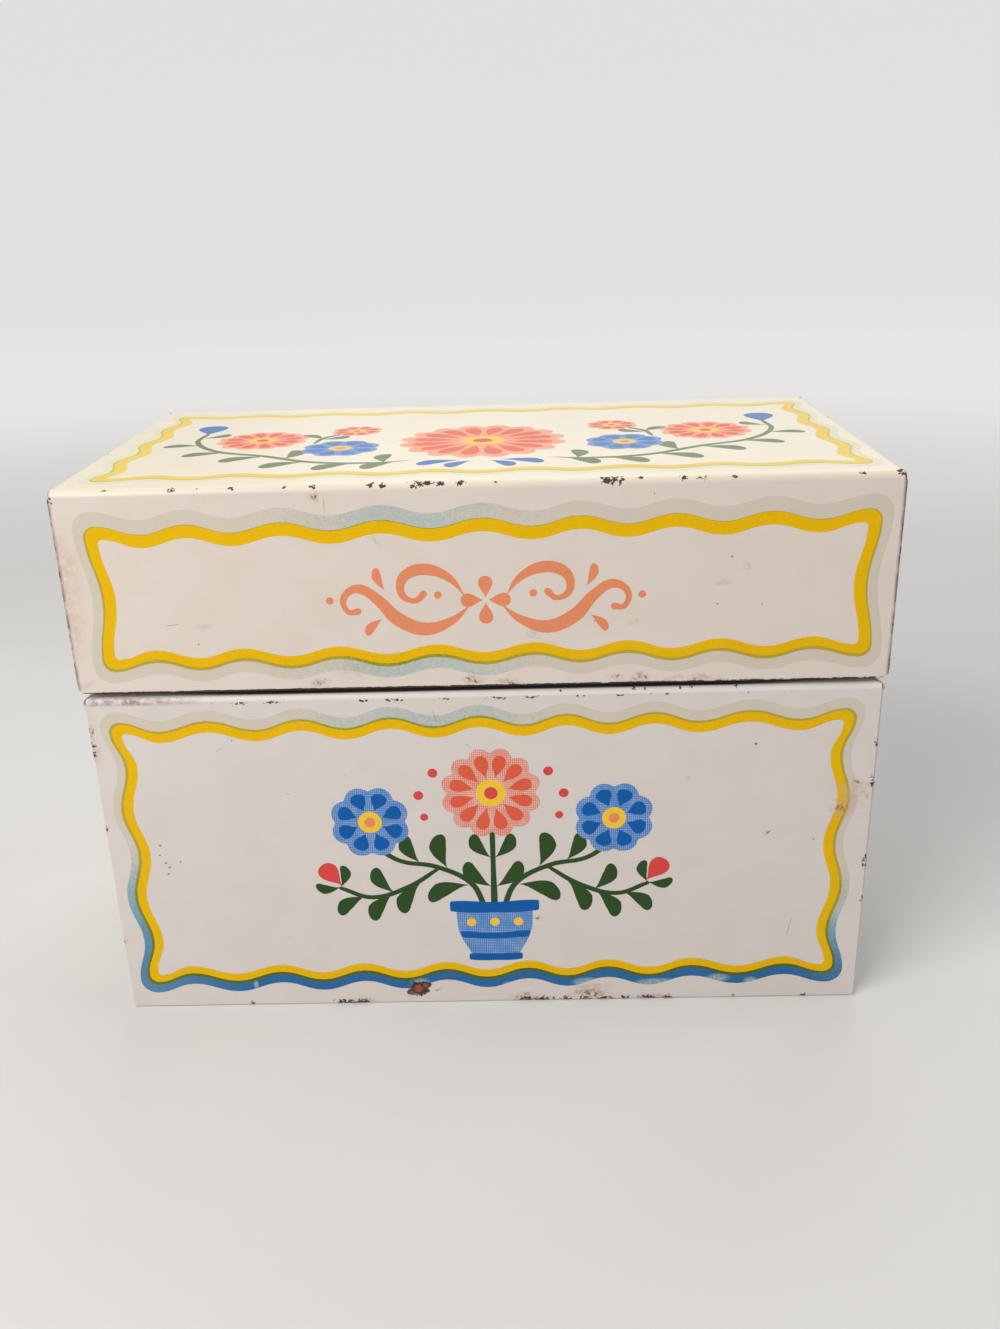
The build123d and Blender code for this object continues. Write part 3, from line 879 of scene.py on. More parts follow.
@dataclass(frozen=True)
class Press:
    """Draws flat shapes, thickens them into ink and lays them on a panel, in millimetres."""

    sunk: float = 0.02
    steps: int = 6
    merge: float = 0.0005

    def lift(self, place: int) -> int:
        """Return a shape's lift in a bunch, so that none lies level with one that it crosses."""
        return place + 1 if place < 2 else 3 + place % 2

    def draw(self, outlines: list[Outline], lift: int = 0) -> bpy.types.Object:
        """Draw one flat shape, with holes where outlines lie inside others.

        Args:
            outlines: The closed outlines, in millimetres on the panel.
            lift: How many thousandths of a millimetre it lies above what it crosses.

        Returns:
            The flat mesh.
        """
        bpy.ops.object.select_all(action="DESELECT")
        bpy.ops.curve.primitive_bezier_circle_add(radius=MM)
        shape = bpy.context.object
        shape.data.dimensions = "2D"
        shape.data.fill_mode = "BOTH"
        shape.data.resolution_u = self.steps
        shape.data.splines.clear()
        for outline in outlines:
            spline = shape.data.splines.new("BEZIER")
            spline.bezier_points.add(len(outline) - 1)
            spline.use_cyclic_u = True
            for point, knot in zip(spline.bezier_points, outline):
                point.handle_left_type = point.handle_right_type = "FREE"
                point.co = (knot.at[0] * MM, knot.at[1] * MM, 0.0)
                point.handle_left = (knot.before[0] * MM, knot.before[1] * MM, 0.0)
                point.handle_right = (knot.after[0] * MM, knot.after[1] * MM, 0.0)
        bpy.ops.object.convert(target="MESH")
        shape = bpy.context.object
        shape.location.z = lift * MM * MM
        bpy.ops.object.transform_apply(location=True, rotation=True, scale=True)
        return shape

    def copy(self, shape: bpy.types.Object, turn: float = 0.0, about: Point = (0.0, 0.0),
             mirrored: bool = False) -> bpy.types.Object:
        """Copy a flat shape, each copy with its own mesh.

        Args:
            shape: The shape.
            turn: How far the copy is turned, in degrees.
            about: The point that it turns about, or whose upright it is mirrored over.
            mirrored: Whether the copy is a mirror image.

        Returns:
            The copy.
        """
        bpy.ops.object.select_all(action="DESELECT")
        shape.select_set(True)
        bpy.context.view_layer.objects.active = shape
        bpy.ops.object.duplicate(linked=False)
        twin = bpy.context.object
        centre = Matrix.Translation((about[0] * MM, about[1] * MM, 0.0))
        change = Matrix.Rotation(math.radians(turn), 4, "Z")
        if mirrored:
            change = Matrix.Scale(-1.0, 4, (1.0, 0.0, 0.0)) @ change
        twin.matrix_world = centre @ change @ centre.inverted()
        bpy.ops.object.transform_apply(location=True, rotation=True, scale=True)
        return twin

    def ring(self, shape: bpy.types.Object, count: int, about: Point) -> list[bpy.types.Object]:
        """Repeat a shape round a point, and return all of them, the first included."""
        step = FULL_TURN / count
        return [shape] + [self.copy(shape, step * place, about) for place in range(1, count)]

    def lay(self, name: str, shapes: list[bpy.types.Object], ink: Ink, panel: Panel,
            layer: Layer) -> bpy.types.Object:
        """Join flat shapes into one piece of ink and lay it on its panel.

        Args:
            name: The piece's name.
            shapes: The flat shapes.
            ink: The ink.
            panel: The panel.
            layer: Which pass of ink it is.

        Returns:
            The finished piece.
        """
        bpy.ops.object.select_all(action="DESELECT")
        for shape in shapes:
            shape.select_set(True)
        bpy.context.view_layer.objects.active = shapes[0]
        if len(shapes) > 1:
            bpy.ops.object.join()
        piece = bpy.context.object
        piece.name = piece.data.name = f"{panel.name}_{name}"
        bpy.ops.object.mode_set(mode="EDIT")
        bpy.ops.mesh.select_all(action="SELECT")
        bpy.ops.mesh.remove_doubles(threshold=self.merge * MM)
        bpy.ops.transform.translate(value=(0.0, 0.0, -self.sunk * MM))
        rise = (0.0, 0.0, (self.sunk + layer.value) * MM)
        bpy.ops.mesh.extrude_region_move(TRANSFORM_OT_translate={"value": rise})
        bpy.ops.mesh.select_all(action="SELECT")
        bpy.ops.mesh.normals_make_consistent(inside=False)
        bpy.ops.object.mode_set(mode="OBJECT")
        panel.stand(piece)
        piece.data.materials.clear()
        piece.data.materials.append(ink.material())
        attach(piece, panel.body)
        log.info("%s: %d faces", piece.name, len(piece.data.polygons))
        return piece


PRESS = Press()


@dataclass(frozen=True)
class WavyBorder:
    """Two wavy bands round a panel, yellow inside and a fading one outside, in millimetres."""

    panel: Panel
    left: float
    right: float
    bottom: float
    top: float
    across: tuple[float, ...]
    upward: tuple[float, ...]
    dip: float = 1.6
    inks: tuple[Ink, Ink, Ink] = (OUTER_BAND, YELLOW, OVERPRINT)
    yellow_half: float = 1.08
    trap: float = 0.33
    outer_width: float = 2.0
    side_share: float = 0.84
    slip: Point = (-0.03, -0.22)
    corner: float = 1.3
    corner_growth: float = 0.55
    tightest: float = 0.35

    def outline(self, grow: float, slip: Point = (0.0, 0.0)) -> Outline:
        """Draw the wavy outline, grown or shrunk from the yellow band's middle line.

        Args:
            grow: How far it is grown.
            slip: How far it is shifted.

        Returns:
            The outline.
        """
        side = grow * (self.side_share if grow > self.yellow_half else 1.0)
        left, right = self.left - side + slip[0], self.right + side + slip[0]
        low, high = self.bottom - grow + slip[1], self.top + grow + slip[1]
        radius = max(self.corner + self.corner_growth * grow, self.tightest)
        level = self.run(left + radius, right - radius, [place + slip[0] for place in self.across])
        upright = self.run(low + radius, high - radius, [place + slip[1] for place in self.upward])
        sides = (
            (level, lambda along, dip: (along, low + dip)),
            (upright, lambda along, dip: (right - dip, along)),
            (level[::-1], lambda along, dip: (along, high - dip)),
            (upright[::-1], lambda along, dip: (left + dip, along)),
        )
        return [knot for run, put in sides for knot in self.knots(run, put, radius)]

    def run(self, start: float, end: float, bulges: list[float]) -> list[Point]:
        """List the crests and the inward bulges of one side.

        Args:
            start: Where the side leaves its first corner.
            end: Where it reaches its last corner.
            bulges: Where it bulges inwards.

        Returns:
            The place along the side and the distance inwards of each.
        """
        middles = [(first + second) / 2 for first, second in zip(bulges, bulges[1:])]
        points = [(start, 0.0), (bulges[0], self.dip)]
        for middle, bulge in zip(middles, bulges[1:]):
            points += [(middle, 0.0), (bulge, self.dip)]
        return points + [(end, 0.0)]

    def knots(self, run: list[Point], put: Callable[[float, float], Point],
              radius: float) -> Outline:
        """Give one side's points their handles.

        Args:
            run: The place along the side and the distance inwards of each point.
            put: Turns those two into a point on the panel.
            radius: The radius of the corners at both ends.

        Returns:
            The knots.
        """
        way = 1.0 if run[-1][0] > run[0][0] else -1.0
        waves = [WAVE_HANDLE * abs(ahead[0] - here[0]) for here, ahead in zip(run, run[1:])]
        corner = ROUND_HANDLE * radius
        return [
            Knot(put(along, dip), put(along - way * before, dip), put(along + way * after, dip))
            for (along, dip), before, after in zip(run, [corner] + waves, waves + [corner])
        ]

    def build(self) -> None:
        """Print both bands and the line where they overlap."""
        outer_in = self.outline(self.yellow_half - self.trap)
        outer_out = self.outline(self.yellow_half + self.outer_width)
        yellow_in = self.outline(-self.yellow_half, self.slip)
        yellow_out = self.outline(self.yellow_half, self.slip)
        for name, ink, outlines, layer in (
            ("outer_band", self.inks[0], [outer_out, outer_in], Layer.FIRST),
            ("yellow_band", self.inks[1], [yellow_out, yellow_in], Layer.SECOND),
            ("overprint_line", self.inks[2], [yellow_out, outer_in], Layer.THIRD),
        ):
            PRESS.lay(name, [PRESS.draw(outlines)], ink, self.panel, layer)


def evenly(start: float, end: float, count: int) -> tuple[float, ...]:
    """Place a count of bulges evenly between two corners."""
    step = (end - start) / count
    return tuple(start + step * (place + 0.5) for place in range(count))


def on_circle(degrees: float) -> Vector:
    """Return the point of a circle of radius 1 at an angle, in degrees."""
    return Vector((math.cos(math.radians(degrees)), math.sin(math.radians(degrees))))


def smooth(rim: list[Point], sharp: tuple[int, ...] = ()) -> Outline:
    """Give a closed row of points handles that make it smooth.

    Args:
        rim: The points.
        sharp: The numbers of those that stay sharp.

    Returns:
        The outline.
    """
    knots = []
    for place, point in enumerate(rim):
        here = Vector(point)
        back, ahead = Vector(rim[place - 1]), Vector(rim[(place + 1) % len(rim)])
        if place in sharp:
            before, after = here.lerp(back, SHARP_HANDLE), here.lerp(ahead, SHARP_HANDLE)
        else:
            way = (ahead - back).normalized()
            before = here - way * (here - back).length * SOFT_HANDLE
            after = here + way * (ahead - here).length * SOFT_HANDLE
        knots.append(Knot(tuple(here), tuple(before), tuple(after)))
    return knots


def brush(path: list[Point], widths: tuple[float, ...]) -> Outline:
    """Draw the outline of one brush stroke.

    Args:
        path: The points that the brush goes through.
        widths: How wide the stroke is at each; 0 at an end is a sharp tip.

    Returns:
        The outline.
    """
    points = [Vector(point) for point in path]
    last = len(points) - 1
    ways = [
        (points[min(place + 1, last)] - points[max(place - 1, 0)]).normalized()
        for place in range(len(points))
    ]
    left = [p + Vector((-w.y, w.x)) * size / 2 for p, w, size in zip(points, ways, widths)]
    right = [p - Vector((-w.y, w.x)) * size / 2 for p, w, size in zip(points, ways, widths)]
    rim = left + ([] if widths[-1] == 0.0 else [points[-1] + ways[-1] * widths[-1] * BRUSH_END])
    rim += right[::-1][1 if widths[-1] == 0.0 else 0:]
    rim = rim[:-1] if widths[0] == 0.0 else rim + [points[0] - ways[0] * widths[0] * BRUSH_END]
    sharp = tuple(place for place in (0, last) if widths[place] == 0.0)
    return smooth([tuple(point) for point in rim], sharp)


def round_shape(at: Point, radius: float) -> Outline:
    """Draw a dot.

    Args:
        at: Its middle.
        radius: Its radius.

    Returns:
        The outline.
    """
    knots = []
    for way in (Vector((1.0, 0.0)), Vector((0.0, 1.0)), Vector((-1.0, 0.0)), Vector((0.0, -1.0))):
        here = Vector(at) + way * radius
        side = Vector((-way.y, way.x)) * (ROUND_HANDLE * radius)
        knots.append(Knot(tuple(here), tuple(here - side), tuple(here + side)))
    return knots


def scalloped(at: Point, radius: float, count: int, depth: float) -> Outline:
    """Draw a disc with a scalloped edge.

    Args:
        at: Its middle.
        radius: Its radius over the scallops.
        count: How many scallops.
        depth: How deep the notches between them are.

    Returns:
        The outline.
    """
    sunk = (depth, depth * 0.28, 0.0, depth * 0.28)  # from one notch over a scallop to the next
    points = count * len(sunk)
    rim = []
    for place in range(points):
        angle = math.radians(FULL_TURN * place / points)
        reach = radius - sunk[place % len(sunk)]
        rim.append((at[0] + reach * math.cos(angle), at[1] + reach * math.sin(angle)))
    return smooth(rim, tuple(range(0, points, len(sunk))))


# A leaf's knots, each its point and its two handles, as shares of the length and of the width.
LEAF = (
    ((0.0, 0.0), (0.22, -0.10), (0.22, 0.10)),
    ((0.68, 0.5), (0.42, 0.48), (0.88, 0.5)),
    ((1.0, 0.0), (1.0, 0.29), (1.0, -0.29)),
    ((0.68, -0.5), (0.88, -0.5), (0.42, -0.48)),
)


def leaf(root: Point, angle: float, length: float, width: float, bend: float = 0.12) -> Outline:
    """Draw a teardrop leaf.

    Args:
        root: Its sharp end.
        angle: The way it points, in degrees.
        length: Its length.
        width: Its greatest width.
        bend: How far it curves aside, over its length.

    Returns:
        The outline.
    """
    way = on_circle(angle)
    side = Vector((-way.y, way.x))

    def at(share: float, off: float) -> Point:
        """Return the point at a share of the length, and a share of the width aside."""
        aside = length * bend * math.sin(math.pi * share) + off * width
        return tuple(Vector(root) + way * length * share + side * aside)

    return [Knot(*(at(*spot) for spot in knot)) for knot in LEAF]


@dataclass(frozen=True)
class Blossom:
    """A round flower of petals over a scalloped ground, in millimetres and shares of its radius."""

    at: Point
    radius: float
    petals: int
    ground: Ink
    stroke: Ink
    eye: Ink
    heart_share: float = 0.3
    heart: Ink = WARM_YELLOW
    eye_share: float = 0.45
    notch: float = 0.13
    petal_gap: float = 0.04
    petal_end: float = 0.84
    petal_spread: float = 0.72
    petal_fill: float = 0.72

    def build(self, name: str, panel: Panel) -> None:
        """Print the flower.

        Args:
            name: What it is called.
            panel: The panel that it is on.
        """
        rim = scalloped(self.at, self.radius, self.petals, self.notch * self.radius)
        ground = PRESS.draw([rim])
        PRESS.lay(f"{name}_ground", [ground], self.ground, panel, Layer.SECOND)
        angle = FULL_TURN / self.petals / 2
        inner = self.radius * (self.heart_share + self.petal_gap)
        root = Vector(self.at) + on_circle(angle) * inner
        length = self.radius * self.petal_end - inner
        spread = 2.0 * self.radius * self.petal_spread * math.sin(math.radians(angle))
        width = spread * self.petal_fill
        petal = PRESS.draw([leaf(tuple(root), angle, length, width, 0.0)])
        petals = PRESS.ring(petal, self.petals, self.at)
        PRESS.lay(f"{name}_petals", petals, self.stroke, panel, Layer.THIRD)
        heart = PRESS.draw([round_shape(self.at, self.radius * self.heart_share)])
        PRESS.lay(f"{name}_heart", [heart], self.heart, panel, Layer.FOURTH)
        eye = PRESS.draw([round_shape(self.at, self.radius * self.heart_share * self.eye_share)])
        PRESS.lay(f"{name}_eye", [eye], self.eye, panel, Layer.FIFTH)


@dataclass(frozen=True)
class Artwork:
    """Artwork on one panel, with its points placed from a middle, in millimetres."""

    panel: Panel
    middle: Point

    def points(self, rows: Rows) -> list[Point]:
        """Place points from the middle."""
        return [(self.middle[0] + across, self.middle[1] + up) for across, up in rows]

    def strokes(self, rows: Strokes) -> list[Outline]:
        """Draw brush strokes, each a row of points and a row of widths."""
        return [brush(self.points(path), widths) for path, widths in rows]

    def leaves(self, rows: Rows) -> list[Outline]:
        """Draw leaves, each by its sharp end, angle, length, width and any bend."""
        return [leaf(self.points((row[:2],))[0], *row[2:]) for row in rows]

    def dots(self, rows: Rows) -> list[Outline]:
        """Draw dots, each by its middle and radius."""
        return [round_shape(self.points((row[:2],))[0], row[2]) for row in rows]

    def pairs(self, outlines: list[Outline], lifted: bool = True) -> list[bpy.types.Object]:
        """Draw shapes and their mirror images over the middle, lifted apart where they cross."""
        right = [PRESS.draw([outline], PRESS.lift(place) if lifted else 0)
                 for place, outline in enumerate(outlines)]
        return right + [PRESS.copy(shape, about=self.middle, mirrored=True) for shape in right]

    def lay(self, name: str, shapes: list[bpy.types.Object], ink: Ink, layer: Layer) -> None:
        """Lay shapes on the panel as one piece of ink."""
        PRESS.lay(name, shapes, ink, self.panel, layer)

    def blossom(self, name: str, at: Point, *looks: object, **shares: float) -> None:
        """Print one flower, placed from the middle."""
        Blossom(self.points((at,))[0], *looks, **shares).build(name, self.panel)


@dataclass(frozen=True)
class FlowerPot(Artwork):
    """The bunch of flowers in a pot on the base's front, in millimetres."""

    panel: Panel = BASE_FRONT
    middle: Point = (1.0, 0.0)
    stem: Strokes = ((((0.0, 20.0), (0.0, 28.0), (0.0, 37.0)), (1.1, 0.9, 0.8)),)
    twigs: Strokes = (
        (((1.6, 20.0), (4.0, 25.2), (10.0, 28.6), (16.0, 29.8), (20.0, 32.4)),
         (0.9, 1.0, 0.9, 0.85, 0.8)),
        (((9.6, 28.2), (15.0, 24.6), (21.5, 22.6), (27.0, 24.6)), (0.6, 0.9, 0.85, 0.7)),
    )
    twig_leaves: Rows = (
        (0.4, 24.4, 47.0, 6.6, 2.8, -0.14), (0.3, 30.2, 55.0, 5.6, 2.4, -0.14),
        (8.0, 28.3, 80.0, 6.8, 3.0, -0.14), (12.8, 29.5, 64.0, 5.8, 2.6, -0.14),
        (4.4, 24.8, -22.0, 7.8, 3.1, 0.14), (13.0, 25.2, -60.0, 6.8, 2.9, 0.14),
        (18.0, 23.1, -54.0, 6.4, 2.8, 0.14), (22.8, 22.8, -36.0, 6.0, 2.6, 0.14),
        (17.6, 23.5, 56.0, 6.0, 2.6, -0.14), (27.0, 24.8, 100.0, 4.4, 1.9, 0.16),
        (27.0, 24.8, 4.0, 4.4, 1.9, -0.16),
    )
    buds: Rows = ((26.8, 25.2, 52.0, 5.2, 3.6, 0.0),)
    berries: Rows = ((9.8, 46.8, 0.85), (12.4, 42.6, 0.85), (11.6, 38.4, 0.7))
    hoops: tuple[Rows, ...] = (
        ((-7.6, 19.4), (0.0, 19.1), (7.6, 19.4), (7.9, 20.5), (7.6, 21.5), (0.0, 21.2),
         (-7.6, 21.5), (-7.9, 20.5)),
        ((-4.6, 9.2), (0.0, 9.0), (4.6, 9.2), (4.8, 9.9), (4.6, 10.5), (0.0, 10.4),
         (-4.6, 10.5), (-4.8, 9.9)),
        ((-5.9, 14.0), (0.0, 13.6), (5.9, 14.0), (6.1, 14.6), (6.2, 15.2), (0.0, 14.8),
         (-6.2, 15.2), (-6.1, 14.6)),
    )
    body: Rows = (
        (-6.8, 19.3), (-6.4, 15.0), (-4.2, 10.3), (0.0, 10.0), (4.2, 10.3), (6.4, 15.0),
        (6.8, 19.3), (0.0, 19.5),
    )
    body_corners: tuple[int, ...] = (0, 2, 4, 6)
    spots: Rows = ((-4.2, 17.1, 0.85), (0.0, 17.1, 0.85), (4.2, 17.1, 0.85))

    def build(self) -> None:
        """Print the pot, the stems, the leaves and the flowers."""
        stem = [PRESS.draw(self.strokes(self.stem))]
        twigs = self.pairs(self.strokes(self.twigs) + self.leaves(self.twig_leaves))
        self.lay("pot_flowers_green", stem + twigs, GREEN, Layer.FIRST)
        buds = self.pairs(self.leaves(self.buds) + self.dots(self.berries))
        self.lay("pot_flowers_buds", buds, RED, Layer.SECOND)
        hoops = [PRESS.draw([smooth(self.points(hoop))]) for hoop in self.hoops]
        self.lay("pot_rims", hoops, DEEP_BLUE, Layer.SECOND)
        body = PRESS.draw([smooth(self.points(self.body), self.body_corners)])
        self.lay("pot_body", [body], BLUE_TINT, Layer.FIRST)
        spots = [PRESS.draw([spot]) for spot in self.dots(self.spots)]
        self.lay("pot_dots", spots, WARM_YELLOW, Layer.SECOND)
        self.blossom("pot_daisy", (0.0, 42.8), 8.6, 12, PINK_TINT, ORANGE_RED, RED)
        for name, way in SIDES:
            at = (way * 21.0, 37.6)
            self.blossom(f"pot_blue_{name}", at, 6.9, 8, BLUE_TINT, DEEP_BLUE, CORAL)


@dataclass(frozen=True)
class Scrollwork(Artwork):
    """The coral scrolls on the lid's front, in millimetres."""

    panel: Panel = LID_FRONT
    middle: Point = (1.2, 77.6)
    scrolls: Strokes = (
        (((2.4, -0.7), (5.4, -3.3), (9.8, -4.7), (14.2, -2.9), (17.2, 0.4), (20.2, 2.3),
          (22.6, 0.9), (22.2, -1.4), (20.4, -1.5)), (0.0, 1.3, 2.2, 2.3, 1.8, 1.5, 1.1, 0.9, 1.1)),
        (((3.2, 0.6), (5.6, 3.7), (9.4, 5.3), (12.8, 4.2), (13.4, 1.4), (11.4, 0.1), (9.8, 1.3)),
         (0.0, 1.2, 1.9, 1.7, 1.2, 0.9, 1.1)),
    )
    scroll_leaves: Rows = ((16.0, 1.9, 70.0, 4.0, 1.5, -0.1), (16.6, -2.8, -44.0, 3.9, 1.5, 0.1))
    berries: Rows = ((7.6, 1.0, 0.62), (24.9, 0.4, 0.62))
    petal: Rows = ((0.0, 0.4, 90.0, 3.6, 2.3, 0.0),)

    def build(self) -> None:
        """Print the two scrolls and the small flower between them."""
        right = self.strokes(self.scrolls) + self.leaves(self.scroll_leaves)
        drawn = self.pairs(right + self.dots(self.berries))
        drawn += PRESS.ring(PRESS.draw(self.leaves(self.petal)), 4, self.middle)
        self.lay("scrolls", drawn, CORAL, Layer.FIRST)


@dataclass(frozen=True)
class Garland(Artwork):
    """The rosette and the garland on the lid's top, in millimetres."""

    panel: Panel = LID_TOP
    middle: Point = (0.6, -4.0)
    vines: Strokes = (
        (((11.0, -15.6), (18.0, -17.2), (28.0, -15.6), (37.6, -9.4), (46.8, -4.4), (52.4, 4.6),
          (52.4, 13.0)), (0.0, 1.1, 1.3, 1.3, 1.2, 1.0, 0.7)),
        (((30.4, 1.0), (29.4, 6.0), (26.6, 9.4)), (0.5, 1.0, 0.8)),
    )
    vine_leaves: Rows = (
        (14.0, -16.4, -44.0, 7.4, 3.2), (21.0, -17.0, -34.0, 7.8, 3.3),
        (29.4, -15.0, -28.0, 8.2, 3.4), (37.4, -9.8, -26.0, 8.0, 3.3),
        (45.0, -5.6, -18.0, 7.6, 3.1), (51.2, 1.4, -4.0, 6.6, 2.7),
        (16.0, -16.8, 88.0, 6.6, 2.9, -0.12), (33.6, -12.0, 100.0, 7.2, 3.0, 0.12),
        (52.3, 8.6, 142.0, 5.6, 2.5, 0.12), (29.6, 5.4, 44.0, 5.6, 2.4, 0.12),
        (29.8, 4.8, 152.0, 5.6, 2.4, 0.12),
    )
    blue_leaves: Rows = (
        (52.3, 12.4, 86.0, 9.0, 5.6, 0.0), (3.4, -16.6, -22.0, 7.6, 3.1, 0.12),
        (1.6, -17.2, -52.0, 6.0, 2.7, 0.12),
    )

    def build(self) -> None:
        """Print the rosette, the flowers and the leaves on both sides of it."""
        self.blossom("rosette", (0.0, 0.0), 15.0, 16, PEACH, ORANGE_RED, RED, heart_share=0.26)
        for name, way in SIDES:
            self.blossom(f"blue_{name}", (way * 25.0, -4.0), 7.0, 8, BLUE_TINT, FADED_BLUE, CORAL)
            self.blossom(f"daisy_{name}", (way * 40.5, 5.0), 8.4, 12, PEACH, ORANGE_RED, RED)
            self.blossom(f"bud_{name}", (way * 24.0, 12.4), 4.8, 8, PEACH, ORANGE_RED, RED)
        vines = self.pairs(self.strokes(self.vines) + self.leaves(self.vine_leaves))
        self.lay("garland_green", vines, FADED_GREEN, Layer.FIRST)
        blue = self.pairs(self.leaves(self.blue_leaves), lifted=False)
        self.lay("garland_blue", blue, FADED_BLUE, Layer.SECOND)


def dress(node: str, finish: Finish) -> None:
    """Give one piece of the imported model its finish.

    Args:
        node: The piece's name.
        finish: The finish.
    """
    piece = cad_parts[node]
    piece.data.materials.clear()
    piece.data.materials.append(finish.material())
    log.info("%s: %s", node, finish.name)


@dataclass(frozen=True)
class Shells:
    """The two folded shells, each coated round its middle and half size, in millimetres."""

    # painted shade: the base's coat takes a cooler white than the lid's, for the cooler light low
    # on the box
    base: Enamel = Enamel("base_enamel", (0.0, 0.0, 30.85), (66.2, 36.3, 30.85), 35.98, COOL_WHITE)
    lid: Enamel = Enamel("lid_enamel", (0.0, -0.25, 79.75), (66.7, 36.55, 17.05), 36.45)

    def build(self) -> None:
        """Give both shells their coats and their bare metal."""
        dress("base_shell", self.base)
        dress("lid_shell", self.lid)


@dataclass(frozen=True)
class Hinges:
    """The wires of the two hinges."""

    wire: SteelWire = SteelWire()

    def build(self) -> None:
        """Give both wires their finish."""
        for side, _ in SIDES:
            dress(f"hinge_wire_{side}", self.wire)


def seen(graph: Graph) -> Value:
    """Say where the backdrop is looked at or mirrored.

    Args:
        graph: The backdrop's nodes.

    Returns:
        1 where it is, and 0 where it only gives light.
    """
    path = graph.add("ShaderNodeLightPath", {}).outputs
    camera, glossy, through = (
        Value(graph, path[f"Is {kind} Ray"]) for kind in ("Camera", "Glossy", "Transmission")
    )
    return camera.most(glossy.most(through))


@dataclass(frozen=True)
class FloorPaint(Finish):
    """The pale studio floor, which turns into a plain pale backdrop away from the box."""

    name: str = "studio_floor"
    dark: Colour = linear(218, 217, 215)
    light: Colour = linear(223, 222, 220)
    fade_start: float = 240.0
    fade_end: float = 760.0
    dullness: float = 0.85

    def mix(self, graph: Graph) -> dict[str, Feed]:
        """Lay the floor's nodes.

        Args:
            graph: The material's nodes.

        Returns:
            What each named input of the shader takes.
        """
        colour = graph.blend(graph.grain(160.0, 3.0).ease(0.3, 0.7), self.dark, self.light)
        away = graph.vector("LENGTH", graph.place, output="Value")
        shown = away.ease(self.fade_start, self.fade_end) * seen(graph)
        return {
            "Base Color": graph.blend(shown, colour, BLACK),
            "Emission Color": PALE_GREY,
            "Emission Strength": shown,
            "Roughness": self.dullness,
        }


@dataclass(frozen=True)
class Lamp:
    """One soft lamp, in metres and watts."""

    name: str
    at: Place
    size: float
    power: float
    colour: Place

    def hang(self, aim: Place) -> None:
        """Hang the lamp.

        Args:
            aim: The point that it faces.
        """
        bpy.ops.object.light_add(type="AREA", location=self.at)
        light = bpy.context.object
        light.name = self.name
        light.data.shape = "SQUARE"
        light.data.size = self.size
        light.data.energy = self.power
        light.data.color = self.colour
        light.visible_camera = False
        light.rotation_euler = (Vector(aim) - Vector(self.at)).to_track_quat("-Z", "Y").to_euler()


